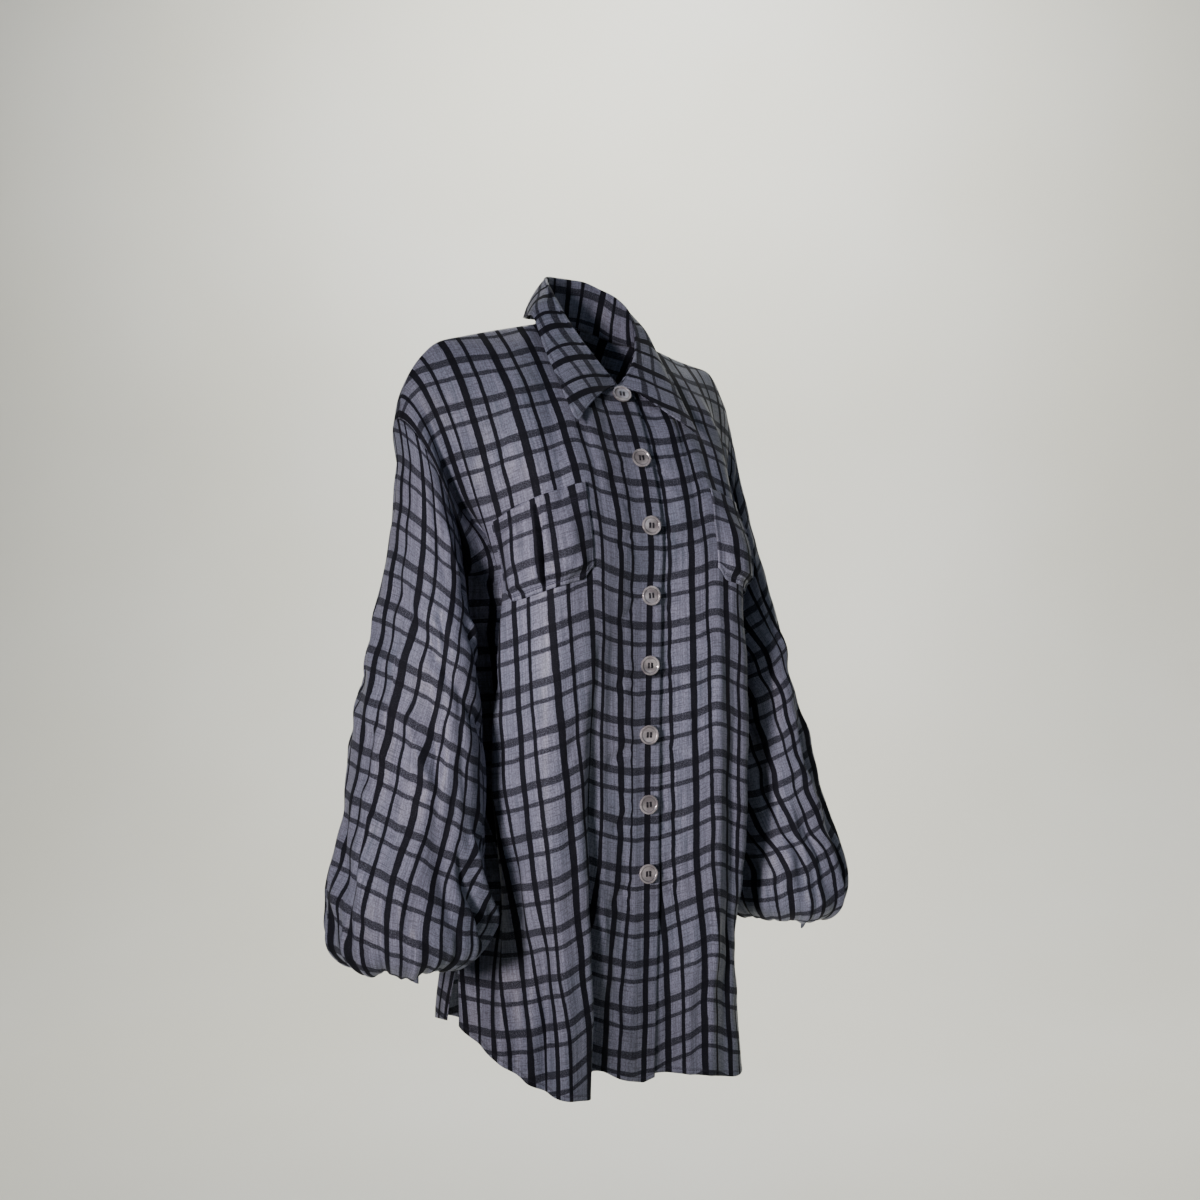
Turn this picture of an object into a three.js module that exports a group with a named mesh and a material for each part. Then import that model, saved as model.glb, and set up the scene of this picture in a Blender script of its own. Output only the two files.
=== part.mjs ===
// A loose silk shirt in its worn, hollow form: two fronts that lap and button, a back, full
// bishop sleeves gathered into narrow cuffs, a folded collar and two chest pockets.
// Millimetres, +Z up, the front faces -Y and the wearer's left is +X. The origin is the middle
// of the neck, level with the inner ends of the shoulder seams.
import * as THREE from 'three';

// ---- driving dimensions ---------------------------------------------------------------------
const WALL = 1.5;             // thickness of every cloth wall
const SEAM_GAP = 0.3;         // clearance between two pieces at a seam
const LAP = 14;               // how far each front runs past the centre line
const LAP_DROP = 2.2;         // how far the left front lies behind the right one
const LAP_UNDER = 18;         // up to here it lies that deep
const LAP_EASE = 48;          // and from here on it is back on the common surface
const TOP_WIDTH = 290;        // half a front, measured along neckline and shoulder
const CHEST_WIDTH = 275;      // and across the chest
const NECK_WIDTH = 66;        // of which this much is neckline
const NECK_U = NECK_WIDTH / TOP_WIDTH;
// The side seam is open from the top of the slit down; its two edges part by twice half.
const SLIT = { top: -690, foot: -775, half: 13 };

// The armhole is a leaning ellipse: middle, half-axis up to the shoulder tip, half-depth.
const ARMHOLE = {
  middle: new THREE.Vector3(195.5, 36, -200),
  rise: new THREE.Vector3(32.5, 6, 82),
  depth: 43,
};

// The left shoulder and that side of the neck have settled a little lower.
const SETTLE = { drop: 9, from: 10, full: 60, until: 120, gone: 220, top: -40, foot: -200 };

// The grid lines of the cloth: distances across a front at the chest, the pocket's own
// columns from POCKET.inner to POCKET.outer among them, and rows from the top edge down.
const NECK_COLUMN = NECK_U * CHEST_WIDTH;
const FRONT_COLUMNS = [-LAP, 0, 14, 30, 46, NECK_COLUMN, 85, 100, 115, 128, 134, 140.5, 147, 153, 166,
  181, 196, 216, 236, 256, CHEST_WIDTH];
const BACK_COLUMNS = [0, 22, 44, NECK_COLUMN, 85, 107, 128, 147, 166, 181, 196, 216, 236, 256, CHEST_WIDTH];
const UPPER_ROWS = [0, 0.1, 0.21, 0.32, 0.43, 0.56, 0.69, 0.76, 0.83, 0.89, 0.95];
const LOWER_ROWS = 12;
const SLEEVE_COLUMNS = 42;
const COLLAR_COLUMNS = 36;

// Front neckline and back neckline, a row for each point from the centre to the shoulder.
const NECK_FRONT = [
  { x: 0, y: -46, z: -80 },
  { x: 22, y: -42, z: -73 },
  { x: 42, y: -33, z: -56 },
  { x: 56, y: -18, z: -34 },
  { x: 63, y: -5, z: -16 },
  { x: 66, y: 8, z: -4 },
];
const NECK_BACK = [
  { x: 0, y: 62, z: 6 },
  { x: 30, y: 57, z: 6 },
  { x: 50, y: 44, z: 4 },
  { x: 61, y: 26, z: 0 },
  { x: 66, y: 8, z: -4 },
];
// The shoulder seam from the neck to the tip of the dropped shoulder.
const SHOULDER = [
  { x: 66, y: 8, z: -4 },
  { x: 115, y: 15, z: -15 },
  { x: 160, y: 22, z: -26 },
  { x: 187, y: 27, z: -34 },
  { x: 203, y: 32, z: -48 },
  { x: 215, y: 38, z: -67 },
  { x: 223, y: 41, z: -90 },
  { x: 228, y: 42, z: -118 },
];
// How the cloth leaves the top edge and how it reaches the chest section: a row for each
// column of cloth, u running from the centre (0) to the side (1).
const FRONT_PULL = [
  { u: 0, startX: 0, startY: -115, startZ: -165, endX: 0, endY: 30, endZ: -200 },
  { u: 0.06, startX: 0, startY: -115, startZ: -165, endX: 0, endY: 30, endZ: -200 },
  { u: 0.23, startX: 0, startY: -165, startZ: -195, endX: 0, endY: 12, endZ: -300 },
  { u: 0.45, startX: -5, startY: -190, startZ: -150, endX: 0, endY: -10, endZ: -280 },
  { u: 0.7, startX: -20, startY: -150, startZ: -120, endX: 12, endY: -70, endZ: -200 },
  { u: 1, startX: 0, startY: -160, startZ: -40, endX: 0, endY: 130, endZ: -60 },
];
const BACK_PULL = [
  { u: 0, startX: 0, startY: 105, startZ: -190, endX: 0, endY: 25, endZ: -280 },
  { u: 0.12, startX: 0, startY: 120, startZ: -170, endX: 0, endY: 20, endZ: -285 },
  { u: 0.23, startX: 0, startY: 150, startZ: -140, endX: 0, endY: 10, endZ: -290 },
  { u: 0.45, startX: -5, startY: 185, startZ: -110, endX: 0, endY: 20, endZ: -280 },
  { u: 0.7, startX: -10, startY: 150, startZ: -90, endX: 5, endY: 50, endZ: -220 },
  { u: 1, startX: 0, startY: 130, startZ: -40, endX: 0, endY: -130, endZ: -60 },
];
const ARMHOLE_REACH = 0.5;    // u from which a panel starts to turn towards the armhole
const ARMHOLE_EASE = 1.4;     // above 1, the turn comes late

// The body's plan at each height: centre front, the soft crease beside the buttons, the
// front corner, the side seam, the back corner and the centre back.
const SECTIONS = [
  { z: -282, front: -109, creaseX: 82, creaseY: -118, cornerX: 138, cornerY: -95,
    sideX: 163, sideY: 30, backX: 138, backY: 106, back: 124 },
  { z: -400, front: -107, creaseX: 83, creaseY: -118, cornerX: 140, cornerY: -97,
    sideX: 162, sideY: 30, backX: 140, backY: 108, back: 128 },
  { z: -520, front: -107, creaseX: 84, creaseY: -118, cornerX: 140, cornerY: -97,
    sideX: 161, sideY: 30, backX: 141, backY: 108, back: 130 },
  { z: -620, front: -107, creaseX: 84, creaseY: -118, cornerX: 137, cornerY: -95,
    sideX: 161, sideY: 29, backX: 141, backY: 105, back: 130 },
  { z: -690, front: -107, creaseX: 85, creaseY: -117, cornerX: 130, cornerY: -92,
    sideX: 165, sideY: 24, backX: 137, backY: 101, back: 129 },
  { z: -770, front: -106, creaseX: 85, creaseY: -115, cornerX: 134, cornerY: -93,
    sideX: 179, sideY: 11, backX: 136, backY: 99, back: 128 },
  { z: -860, front: -102, creaseX: 85, creaseY: -112, cornerX: 139, cornerY: -97,
    sideX: 183, sideY: 8, backX: 137, backY: 100, back: 129 },
];
// The height of the chest row across each panel, and the shirt-tail hems, from the centre (0)
// to the side (1).
const FRONT_CHEST = [
  { u: 0, z: -290 }, { u: 0.1, z: -289 }, { u: 0.31, z: -282 }, { u: 0.75, z: -311 }, { u: 1, z: -282 },
];
const BACK_CHEST = [{ u: 0, z: -290 }, { u: 0.5, z: -288 }, { u: 1, z: -282 }];
const RIGHT_HEM = [
  { u: 0, z: -838 }, { u: 0.12, z: -829 }, { u: 0.24, z: -817 }, { u: 0.31, z: -834 }, { u: 0.42, z: -832 },
  { u: 0.55, z: -825 }, { u: 0.8, z: -793 }, { u: 1, z: -768 },
];
const LEFT_HEM = [
  { u: 0, z: -829 }, { u: 0.3, z: -838 }, { u: 0.5, z: -849 }, { u: 0.66, z: -840 },
  { u: 0.85, z: -795 }, { u: 1, z: -768 },
];
const BACK_HEM = [
  { u: 0, z: -848 }, { u: 0.25, z: -830 }, { u: 0.42, z: -804 }, { u: 0.62, z: -785 },
  { u: 0.85, z: -773 }, { u: 1, z: -768 },
];
// Soft folds of a panel: place across (u), half-width in u, height outwards (a trough is
// negative), and the level below which the fold is full.
const FRONT_FOLDS = [
  { u: 0.3, spread: 0.035, rise: 3.5, top: -250 },
  { u: 0.2, spread: 0.06, rise: -3, top: -330 },
  { u: 0.62, spread: 0.05, rise: -4, top: -480 },
  { u: 0.76, spread: 0.045, rise: 5, top: -520 },
  { u: 0.88, spread: 0.04, rise: -6, top: -420 },
];
const BACK_FOLDS = [
  { u: 0, spread: 0.07, rise: -6, top: -180 },
  { u: 0.2, spread: 0.06, rise: 7, top: -200 },
  { u: 0.38, spread: 0.05, rise: -8, top: -240 },
  { u: 0.56, spread: 0.06, rise: 7, top: -260 },
  { u: 0.74, spread: 0.05, rise: -7, top: -300 },
  { u: 0.88, spread: 0.04, rise: 4, top: -340 },
];
const FOLD_FADE = 110;        // height over which a fold dies away at its top
const FOLD_END = 30;          // and over which a sleeve's fold dies away at its foot
const FOLD_SIDE = 0.93;       // u from which a panel's folds die away towards the side

// The sleeve from the armhole to the cuff, a row for each ring: middle, half-width across,
// half-depth front to back, how much higher (tilt) and further back (lean) the outer side
// lies, and the gathers' height.
const SLEEVE = [
  { x: 195.5, y: 36, z: -200, wide: 32.5, deep: 43, tilt: 82, lean: 6, gather: 0 },
  { x: 197, y: 28, z: -228, wide: 30, deep: 45, tilt: 74, lean: 4, gather: 0.6 },
  { x: 200, y: 23, z: -268, wide: 33, deep: 55, tilt: 56, lean: 1, gather: 0.5 },
  { x: 206, y: 20, z: -318, wide: 39, deep: 72, tilt: 32, lean: 0, gather: 0 },
  { x: 213, y: 16, z: -374, wide: 47, deep: 87, tilt: 14, lean: 0, gather: 0 },
  { x: 220, y: 12, z: -434, wide: 54, deep: 93, tilt: 4, lean: 0, gather: 0 },
  { x: 228, y: 6, z: -498, wide: 62, deep: 94, tilt: 0, lean: 0, gather: 0.5 },
  { x: 241, y: -4, z: -556, wide: 69, deep: 90, tilt: 0, lean: 0, gather: 1.2 },
  { x: 250, y: -16, z: -604, wide: 76, deep: 95, tilt: 0, lean: 0, gather: 2 },
  { x: 252, y: -21, z: -640, wide: 79, deep: 100, tilt: 0, lean: 0, gather: 2.8 },
  { x: 253, y: -23, z: -662, wide: 76, deep: 97, tilt: 0, lean: 0, gather: 3.4 },
  { x: 255, y: -25, z: -676, wide: 65, deep: 82, tilt: 0, lean: 0, gather: 3.6 },
  { x: 256, y: -26, z: -682, wide: 53, deep: 64, tilt: 0, lean: 0, gather: 3 },
  { x: 256, y: -26, z: -678, wide: 47, deep: 52, tilt: 0, lean: 0, gather: 2 },
  { x: 256, y: -26, z: -665, wide: 44, deep: 45, tilt: 0, lean: 0, gather: 0.8 },
  { x: 256, y: -26, z: -653, wide: 37.5, deep: 37.5, tilt: 0, lean: 0, gather: 0 },
];
const GATHERS = 14;           // gathers round each cuff, three grid columns to a gather
const SLEEVE_SWING = { right: 0, left: -12 };   // how much higher or lower each sleeve's foot hangs
const SWING_SPAN = { top: -260, foot: -660 };   // heights between which that comes about
// Long folds of a sleeve: angle round the ring from the outer side towards the front,
// half-width in degrees, height outwards, and the heights between which it is full.
const SLEEVE_FOLDS = [
  { angle: 40, spread: 13, rise: -6, top: -430, foot: -640 },
  { angle: 66, spread: 12, rise: 5, top: -400, foot: -650 },
  { angle: 122, spread: 16, rise: -7, top: -560, foot: -670 },
  { angle: 150, spread: 14, rise: 5, top: -580, foot: -670 },
  { angle: 15, spread: 12, rise: 4, top: -420, foot: -640 },
  { angle: 300, spread: 15, rise: -6, top: -440, foot: -650 },
  { angle: 262, spread: 15, rise: 5, top: -420, foot: -650 },
  { angle: 230, spread: 14, rise: -5, top: -540, foot: -660 },
];

// The narrow cuff inside the foot of the sleeve: for lapAngle degrees one end lies on the
// other, which is lapStep further in and comes back out by stepAngle. The end on top droops.
const CUFF = {
  radius: 37.2, top: -650, height: 34, lapAngle: 30, stepAngle: 48, lapStep: 2.3, tabDrop: 13,
  columns: 26, rows: 3,
};
const CUFF_TAB = { facing: 84, reach: 32 };   // degrees: where the lapped end is, how far it droops

// The collar, a row for each section from the front end (0) round to the centre back (1):
// the fold, the outer edge of the fall, and how far the fall bellies out between them.
const COLLAR = [
  { t: 0, foldX: 2, foldY: -45, foldZ: -72, edgeX: 82, edgeY: -86, edgeZ: -124, belly: 6 },
  { t: 0.13, foldX: 16, foldY: -43, foldZ: -58, edgeX: 83, edgeY: -70, edgeZ: -102, belly: 6 },
  { t: 0.28, foldX: 32, foldY: -34, foldZ: -35, edgeX: 84, edgeY: -50, edgeZ: -73, belly: 5 },
  { t: 0.42, foldX: 45, foldY: -19, foldZ: -8, edgeX: 83, edgeY: -24, edgeZ: -40, belly: 5 },
  { t: 0.56, foldX: 53, foldY: 0, foldZ: 22, edgeX: 80, edgeY: 4, edgeZ: 0, belly: 5 },
  { t: 0.7, foldX: 50, foldY: 20, foldZ: 43, edgeX: 73, edgeY: 31, edgeZ: 6, belly: 4 },
  { t: 0.84, foldX: 37, foldY: 42, foldZ: 56, edgeX: 53, edgeY: 63, edgeZ: 10, belly: 4 },
  { t: 1, foldX: 0, foldY: 56, foldZ: 60, edgeX: 0, edgeY: 82, edgeZ: 15, belly: 4 },
];
const COLLAR_END = 1.8;       // each collar end stops this far from the centre line
const COLLAR_SHOULDER = 10;   // the collar's grid column, of COLLAR_COLUMNS / 2, at the shoulder seam
const COLLAR_ROLL = 2.6;      // radius of the roll along the fold
const COLLAR_FALL = [0.3, 0.65];             // where the fall has grid lines between roll and edge
const COLLAR_BELLY = { out: 0.5, up: 0.8 };  // which way it bellies

// A patch pocket with an inverted pleat, placed in the front's own cloth coordinates.
const POCKET = { inner: 85, outer: 196, topRow: 0.69, footRow: 1 };
const POCKET_LIFT = 0.5;      // clearance to the front below it
// How far it bags out: fully from start down to end (0 its top, 1 its foot), and from side
// (0 its edges, 1 its middle) inwards.
const POCKET_BAG = { height: 3.4, start: 0.6, end: 0.75, side: 0.5 };
const PLEAT = { groove: 2.6, half: 9 };

// A button: its rim stands around a dish, and its edges are taken off by bevel.
const BUTTON = { radius: 10, rim: 1.7, thick: 2.8, dish: 0.9, slope: 1, bevel: 0.6, lift: 0.9, sides: 14 };
const CUFF_BUTTON_RADIUS = 7;
const BUTTON_COUNT = 8;
const FIRST_BUTTON = 10;      // distance of the top button below the neck edge
const SECOND_BUTTON = 92;     // and of the second one
const BUTTON_STEP = 75.3;     // from then on

const SILK = new THREE.MeshStandardMaterial({ color: 0x6d6a7c, roughness: 0.55, metalness: 0 });
const SHELL = new THREE.MeshStandardMaterial({ color: 0x77787c, roughness: 0.25, metalness: 0 });

// ---- curves and tables ----------------------------------------------------------------------
const smooth = (a, b, x) => {
  const t = Math.min(1, Math.max(0, (x - a) / (b - a)));
  return t * t * (3 - 2 * t);
};

const hermite = (p0, m0, p1, m1, t) => {
  const t2 = t * t;
  const t3 = t2 * t;
  return (2 * t3 - 3 * t2 + 1) * p0 + (t3 - 2 * t2 + t) * m0
    + (3 * t2 - 2 * t3) * p1 + (t3 - t2) * m1;
};

// Reads one column of a table at any value of its key column, along a smooth curve.
function read(table, key, name, at) {
  const sign = table[table.length - 1][key] > table[0][key] ? 1 : -1;
  let i = 0;
  while (i < table.length - 2 && sign * at > sign * table[i + 1][key]) i += 1;
  const slope = (j) => {
    const a = table[Math.max(0, j - 1)];
    const b = table[Math.min(table.length - 1, j + 1)];
    return (b[name] - a[name]) / (b[key] - a[key]);
  };
  const span = table[i + 1][key] - table[i][key];
  const t = Math.min(1, Math.max(0, (at - table[i][key]) / span));
  return hermite(table[i][name], slope(i) * span, table[i + 1][name], slope(i + 1) * span, t);
}

// A chain of straight pieces, read at a fraction of its length.
class Polyline {
  constructor(points) {
    this.points = points;
    this.lengths = [0];
    for (let i = 1; i < points.length; i += 1) {
      this.lengths.push(this.lengths[i - 1] + points[i].distanceTo(points[i - 1]));
    }
  }

  at(fraction) {
    const goal = fraction * this.lengths.at(-1);
    let i = 0;
    while (i < this.lengths.length - 2 && this.lengths[i + 1] < goal) i += 1;
    const t = (goal - this.lengths[i]) / (this.lengths[i + 1] - this.lengths[i]);
    return this.points[i].clone().lerp(this.points[i + 1], t);
  }
}

// A smooth line through points. The first and the last point only steer the line's ends.
function smoothLine(points, steps = 16) {
  const dense = [points[1]];
  for (let i = 1; i < points.length - 2; i += 1) {
    const [a, b, c, d] = points.slice(i - 1, i + 3);
    for (let k = 1; k <= steps; k += 1) {
      const p = new THREE.Vector3();
      for (const axis of ['x', 'y', 'z']) {
        p[axis] = hermite(b[axis], (c[axis] - a[axis]) / 2, c[axis], (d[axis] - b[axis]) / 2, k / steps);
      }
      dense.push(p);
    }
  }
  return new Polyline(dense);
}

const vector = (row) => new THREE.Vector3(row.x, row.y, row.z);
const mirrored = (p) => new THREE.Vector3(-p.x, p.y, p.z);

function settle(p) {
  const across = smooth(SETTLE.from, SETTLE.full, p.x) * smooth(SETTLE.gone, SETTLE.until, p.x);
  const drop = SETTLE.drop * across * smooth(SETTLE.foot, SETTLE.top, p.z);
  return new THREE.Vector3(p.x, p.y, p.z - drop);
}

// ---- the body's surface ---------------------------------------------------------------------
// A point of the body is named by its face, by u (0 at the centre line, 1 at the armhole or
// side seam) and by v (0 at the top edge, 1 at the chest section, 2 at the hem). Everything
// is worked out for the wearer's left and mirrored for the right.
const shoulderPoints = SHOULDER.map(vector);
const shoulder = smoothLine([shoulderPoints[0], ...shoulderPoints, shoulderPoints.at(-1)]);

const FRONT = { sign: -1, neck: NECK_FRONT, pull: FRONT_PULL, chest: FRONT_CHEST, folds: FRONT_FOLDS };
const RIGHT_FRONT = { ...FRONT, hem: RIGHT_HEM };
const LEFT_FRONT = { ...FRONT, hem: LEFT_HEM };
const BACK = {
  sign: 1, neck: NECK_BACK, pull: BACK_PULL, chest: BACK_CHEST, folds: BACK_FOLDS, hem: BACK_HEM,
};

function armhole(angle) {
  const { middle, rise, depth } = ARMHOLE;
  return middle.clone().addScaledVector(rise, Math.cos(angle))
    .add(new THREE.Vector3(0, -depth * Math.sin(angle), 0));
}

function topEdge(face, u) {
  if (u > NECK_U) return shoulder.at((u - NECK_U) / (1 - NECK_U));
  const x = (u / NECK_U) * NECK_WIDTH;
  return new THREE.Vector3(x, read(face.neck, 'x', 'y', x), read(face.neck, 'x', 'z', x));
}

function planPoints(z) {
  const at = (name) => read(SECTIONS, 'z', name, z);
  const slit = SLIT.half * smooth(SLIT.top, SLIT.foot, z);
  return {
    front: new THREE.Vector3(0, at('front'), z),
    crease: new THREE.Vector3(at('creaseX'), at('creaseY'), z),
    corner: new THREE.Vector3(at('cornerX'), at('cornerY'), z),
    frontSide: new THREE.Vector3(at('sideX'), at('sideY') - slit, z),
    backSide: new THREE.Vector3(at('sideX'), at('sideY') + slit, z),
    rear: new THREE.Vector3(at('backX'), at('backY'), z),
    back: new THREE.Vector3(0, at('back'), z),
  };
}

function plan(face, z, u) {
  const p = planPoints(z);
  const points = face.sign < 0
    ? [mirrored(p.crease), p.front, p.crease, p.corner, p.frontSide, p.rear]
    : [mirrored(p.rear), p.back, p.rear, p.backSide, p.corner];
  return smoothLine(points).at(u);
}

function column(face, u, v) {
  const top = topEdge(face, u);
  const foot = plan(face, read(face.chest, 'u', 'z', u), u);
  const pull = (name) => read(face.pull, 'u', name, u);
  return new THREE.Vector3(
    hermite(top.x, pull('startX'), foot.x, pull('endX'), v),
    hermite(top.y, pull('startY'), foot.y, pull('endY'), v),
    hermite(top.z, pull('startZ'), foot.z, pull('endZ'), v),
  );
}

function bodyPoint(face, u, v) {
  const away = Math.abs(u);
  let point;
  if (v <= 1) {
    const edge = armhole(-face.sign * Math.PI * v);
    const turn = smooth(ARMHOLE_REACH, 1, away) ** ARMHOLE_EASE;
    point = column(face, away, v).addScaledVector(edge.sub(column(face, 1, v)), turn);
  } else {
    const chest = read(face.chest, 'u', 'z', away);
    const hem = read(face.hem, 'u', 'z', away);
    point = plan(face, chest + (v - 1) * (hem - chest), away);
  }
  return u < 0 ? mirrored(point) : point;
}

function foldHeight(folds, u, z) {
  let height = 0;
  for (const fold of folds) {
    const across = Math.exp(-(((Math.abs(u) - fold.u) / fold.spread) ** 2));
    const along = smooth(fold.top + FOLD_FADE, fold.top, z);
    height += fold.rise * across * along;
  }
  return height * smooth(1, FOLD_SIDE, Math.abs(u));
}

// ---- walls ----------------------------------------------------------------------------------
// A grid holds rows of points with an outward normal at each; a wall is the grid and a copy
// of it set back along the normals, closed by strips round its edges.
function grid(rows, columns, at) {
  const points = [];
  for (let i = 0; i < rows; i += 1) {
    points.push([]);
    for (let j = 0; j < columns; j += 1) points[i].push(at(i, j));
  }
  return points;
}

function gridNormals(points, round, flip) {
  const rows = points.length;
  const columns = points[0].length;
  return grid(rows, columns, (i, j) => {
    const left = round ? (j + columns - 1) % columns : Math.max(0, j - 1);
    const right = round ? (j + 1) % columns : Math.min(columns - 1, j + 1);
    const across = points[i][right].clone().sub(points[i][left]);
    const down = points[Math.min(rows - 1, i + 1)][j].clone().sub(points[Math.max(0, i - 1)][j]);
    return across.cross(down).normalize().multiplyScalar(flip ? -1 : 1);
  });
}

function wallGeometry(outer, normals, round, thickness = WALL) {
  const rows = outer.length;
  const columns = outer[0].length;
  const positions = [];
  const indices = [];
  const index = (layer, i, j) => (layer * rows + i) * columns + (j % columns);
  for (const layer of [0, 1]) {
    for (let i = 0; i < rows; i += 1) {
      for (let j = 0; j < columns; j += 1) {
        const p = outer[i][j].clone().addScaledVector(normals[i][j], -layer * thickness);
        positions.push(p.x, p.y, p.z);
      }
    }
  }
  const quad = (a, b, c, d) => indices.push(a, b, c, a, c, d);
  const spans = round ? columns : columns - 1;
  for (let i = 0; i < rows - 1; i += 1) {
    for (let j = 0; j < spans; j += 1) {
      quad(index(0, i, j), index(0, i + 1, j), index(0, i + 1, j + 1), index(0, i, j + 1));
      quad(index(1, i, j), index(1, i, j + 1), index(1, i + 1, j + 1), index(1, i + 1, j));
    }
  }
  const last = rows - 1;
  for (let j = 0; j < spans; j += 1) {
    quad(index(0, 0, j), index(0, 0, j + 1), index(1, 0, j + 1), index(1, 0, j));
    quad(index(0, last, j + 1), index(0, last, j), index(1, last, j), index(1, last, j + 1));
  }
  if (!round) {
    const end = columns - 1;
    for (let i = 0; i < last; i += 1) {
      quad(index(0, i + 1, 0), index(0, i, 0), index(1, i, 0), index(1, i + 1, 0));
      quad(index(0, i, end), index(0, i + 1, end), index(1, i + 1, end), index(1, i, end));
    }
  }
  return facingOut(positions, indices);
}

function facingOut(positions, indices) {
  const p = (k) => new THREE.Vector3().fromArray(positions, 3 * indices[k]);
  let volume = 0;
  for (let k = 0; k < indices.length; k += 3) volume += p(k).dot(p(k + 1).cross(p(k + 2)));
  if (volume < 0) indices.reverse();
  const geometry = new THREE.BufferGeometry();
  geometry.setAttribute('position', new THREE.Float32BufferAttribute(positions, 3));
  geometry.setIndex(indices);
  geometry.computeVertexNormals();
  return geometry;
}

function piece(name, geometry, material) {
  const mesh = new THREE.Mesh(geometry, material);
  mesh.name = name;
  return mesh;
}

// ---- fronts and back ------------------------------------------------------------------------
// Pieces that meet at a seam use the same normal there, so that their cut edges stay parallel:
// it leans sideways, ahead (or back) and up along the neckline, and likewise at the lowest and
// the highest point of the armhole.
const NECK_LEAN = { side: 0.55, ahead: 0.85, up: 0.55 };
const ARMHOLE_LEAN = { low: { side: -0.25, up: -0.85 }, high: { side: 0.95, up: 0.65 }, ahead: 0.9 };

function neckNormal(face, u) {
  const turn = smooth(0, NECK_U, Math.abs(u));
  const { side, ahead, up } = NECK_LEAN;
  return new THREE.Vector3(Math.sign(u) * side * turn, face.sign * ahead * (1 - turn), up).normalize();
}

function shoulderNormal(u) {
  const f = (Math.abs(u) - NECK_U) / (1 - NECK_U);
  const near = 0.01;
  const along = shoulder.at(Math.min(1, f + near)).sub(shoulder.at(Math.max(0, f - near)));
  return new THREE.Vector3(-along.z * Math.sign(u), 0, along.x).normalize();
}

function armholeNormal(angle, side) {
  const { low, high, ahead } = ARMHOLE_LEAN;
  const up = (1 + Math.cos(angle)) / 2;
  return new THREE.Vector3(
    side * (low.side + (high.side - low.side) * up),
    -ahead * Math.sin(angle),
    low.up + (high.up - low.up) * up,
  ).normalize();
}

function sideNormal(z, side) {
  const p = planPoints(z);
  return new THREE.Vector3(side * (p.rear.y - p.corner.y), p.corner.x - p.rear.x, 0).normalize();
}

function seamNormal(face, u, v, z) {
  if (Math.abs(u) === 1) {
    return v > 1 ? sideNormal(z, Math.sign(u)) : armholeNormal(-face.sign * Math.PI * v, Math.sign(u));
  }
  if (v > 0) return null;
  return Math.abs(u) < NECK_U ? neckNormal(face, u) : shoulderNormal(u);
}

const ROWS = [...UPPER_ROWS, ...Array.from({ length: LOWER_ROWS + 1 }, (_, i) => 1 + i / LOWER_ROWS)];

// The outer points and normals of a panel whose columns lie at the given values of u.
function panel(face, columns, behind = () => 0) {
  const trim = (SEAM_GAP / 2) / CHEST_WIDTH;
  const inset = (u) => Math.sign(u) * Math.min(Math.abs(u), 1 - trim);
  const points = grid(ROWS.length, columns.length, (i, j) => {
    const point = bodyPoint(face, inset(columns[j]), ROWS[i]);
    if (ROWS[i] === 0 && Math.abs(columns[j]) >= NECK_U) point.y += face.sign * SEAM_GAP / 2;
    return point;
  });
  const free = gridNormals(points, false, face.sign < 0);
  const normals = grid(ROWS.length, columns.length, (i, j) => (
    seamNormal(face, columns[j], ROWS[i], points[i][j].z) ?? free[i][j]
  ));
  for (let i = 0; i < ROWS.length; i += 1) {
    for (let j = 0; j < columns.length; j += 1) {
      const fold = i === 0 ? 0 : foldHeight(face.folds, columns[j], points[i][j].z);
      points[i][j].addScaledVector(normals[i][j], fold - behind(columns[j]));
    }
  }
  return { points, normals };
}

const across = (distance) => distance / CHEST_WIDTH;
const lapDrop = (u) => LAP_DROP * smooth(across(LAP_EASE), across(LAP_UNDER), u);

function settled({ points, normals }) {
  return { points: points.map((row) => row.map(settle)), normals };
}

function mirror({ points, normals }) {
  for (const v of [...points.flat(), ...normals.flat()]) v.x *= -1;
  return { points, normals };
}

const neckColumns = (columns) => columns.filter((x) => x >= 0 && x <= NECK_COLUMN);
const leftNeckEdge = neckColumns(FRONT_COLUMNS).map((x) => bodyPoint(LEFT_FRONT, across(x), 0));
const backNeckEdge = neckColumns(BACK_COLUMNS).map((x) => bodyPoint(BACK, across(x), 0));
const leftFront = settled(panel(LEFT_FRONT, FRONT_COLUMNS.map(across), lapDrop));
const rightFront = mirror(panel(RIGHT_FRONT, FRONT_COLUMNS.map(across)));
const backColumns = [...BACK_COLUMNS.slice(1).reverse().map((x) => -x), ...BACK_COLUMNS];
const back = settled(panel(BACK, backColumns.map(across)));

// ---- sleeves --------------------------------------------------------------------------------
// angle 0 is the outer side, 90 degrees the front, 180 the side next to the body.
function sleevePoint(row, angle, swing) {
  const drop = swing * smooth(SWING_SPAN.top, SWING_SPAN.foot, row.z);
  const wave = row.gather * Math.cos(GATHERS * angle);
  return new THREE.Vector3(
    row.x + (row.wide + wave) * Math.cos(angle),
    row.y + row.lean * Math.cos(angle) - (row.deep + wave) * Math.sin(angle),
    row.z + row.tilt * Math.cos(angle) + drop,
  );
}

function sleeveFold(angle, z) {
  let height = 0;
  for (const fold of SLEEVE_FOLDS) {
    const away = THREE.MathUtils.radToDeg(angle) - fold.angle;
    const turn = THREE.MathUtils.euclideanModulo(away + 180, 360) - 180;
    const along = smooth(fold.top + FOLD_FADE, fold.top, z) * smooth(fold.foot - FOLD_END, fold.foot, z);
    height += fold.rise * Math.exp(-((turn / fold.spread) ** 2)) * along;
  }
  return height;
}

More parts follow.
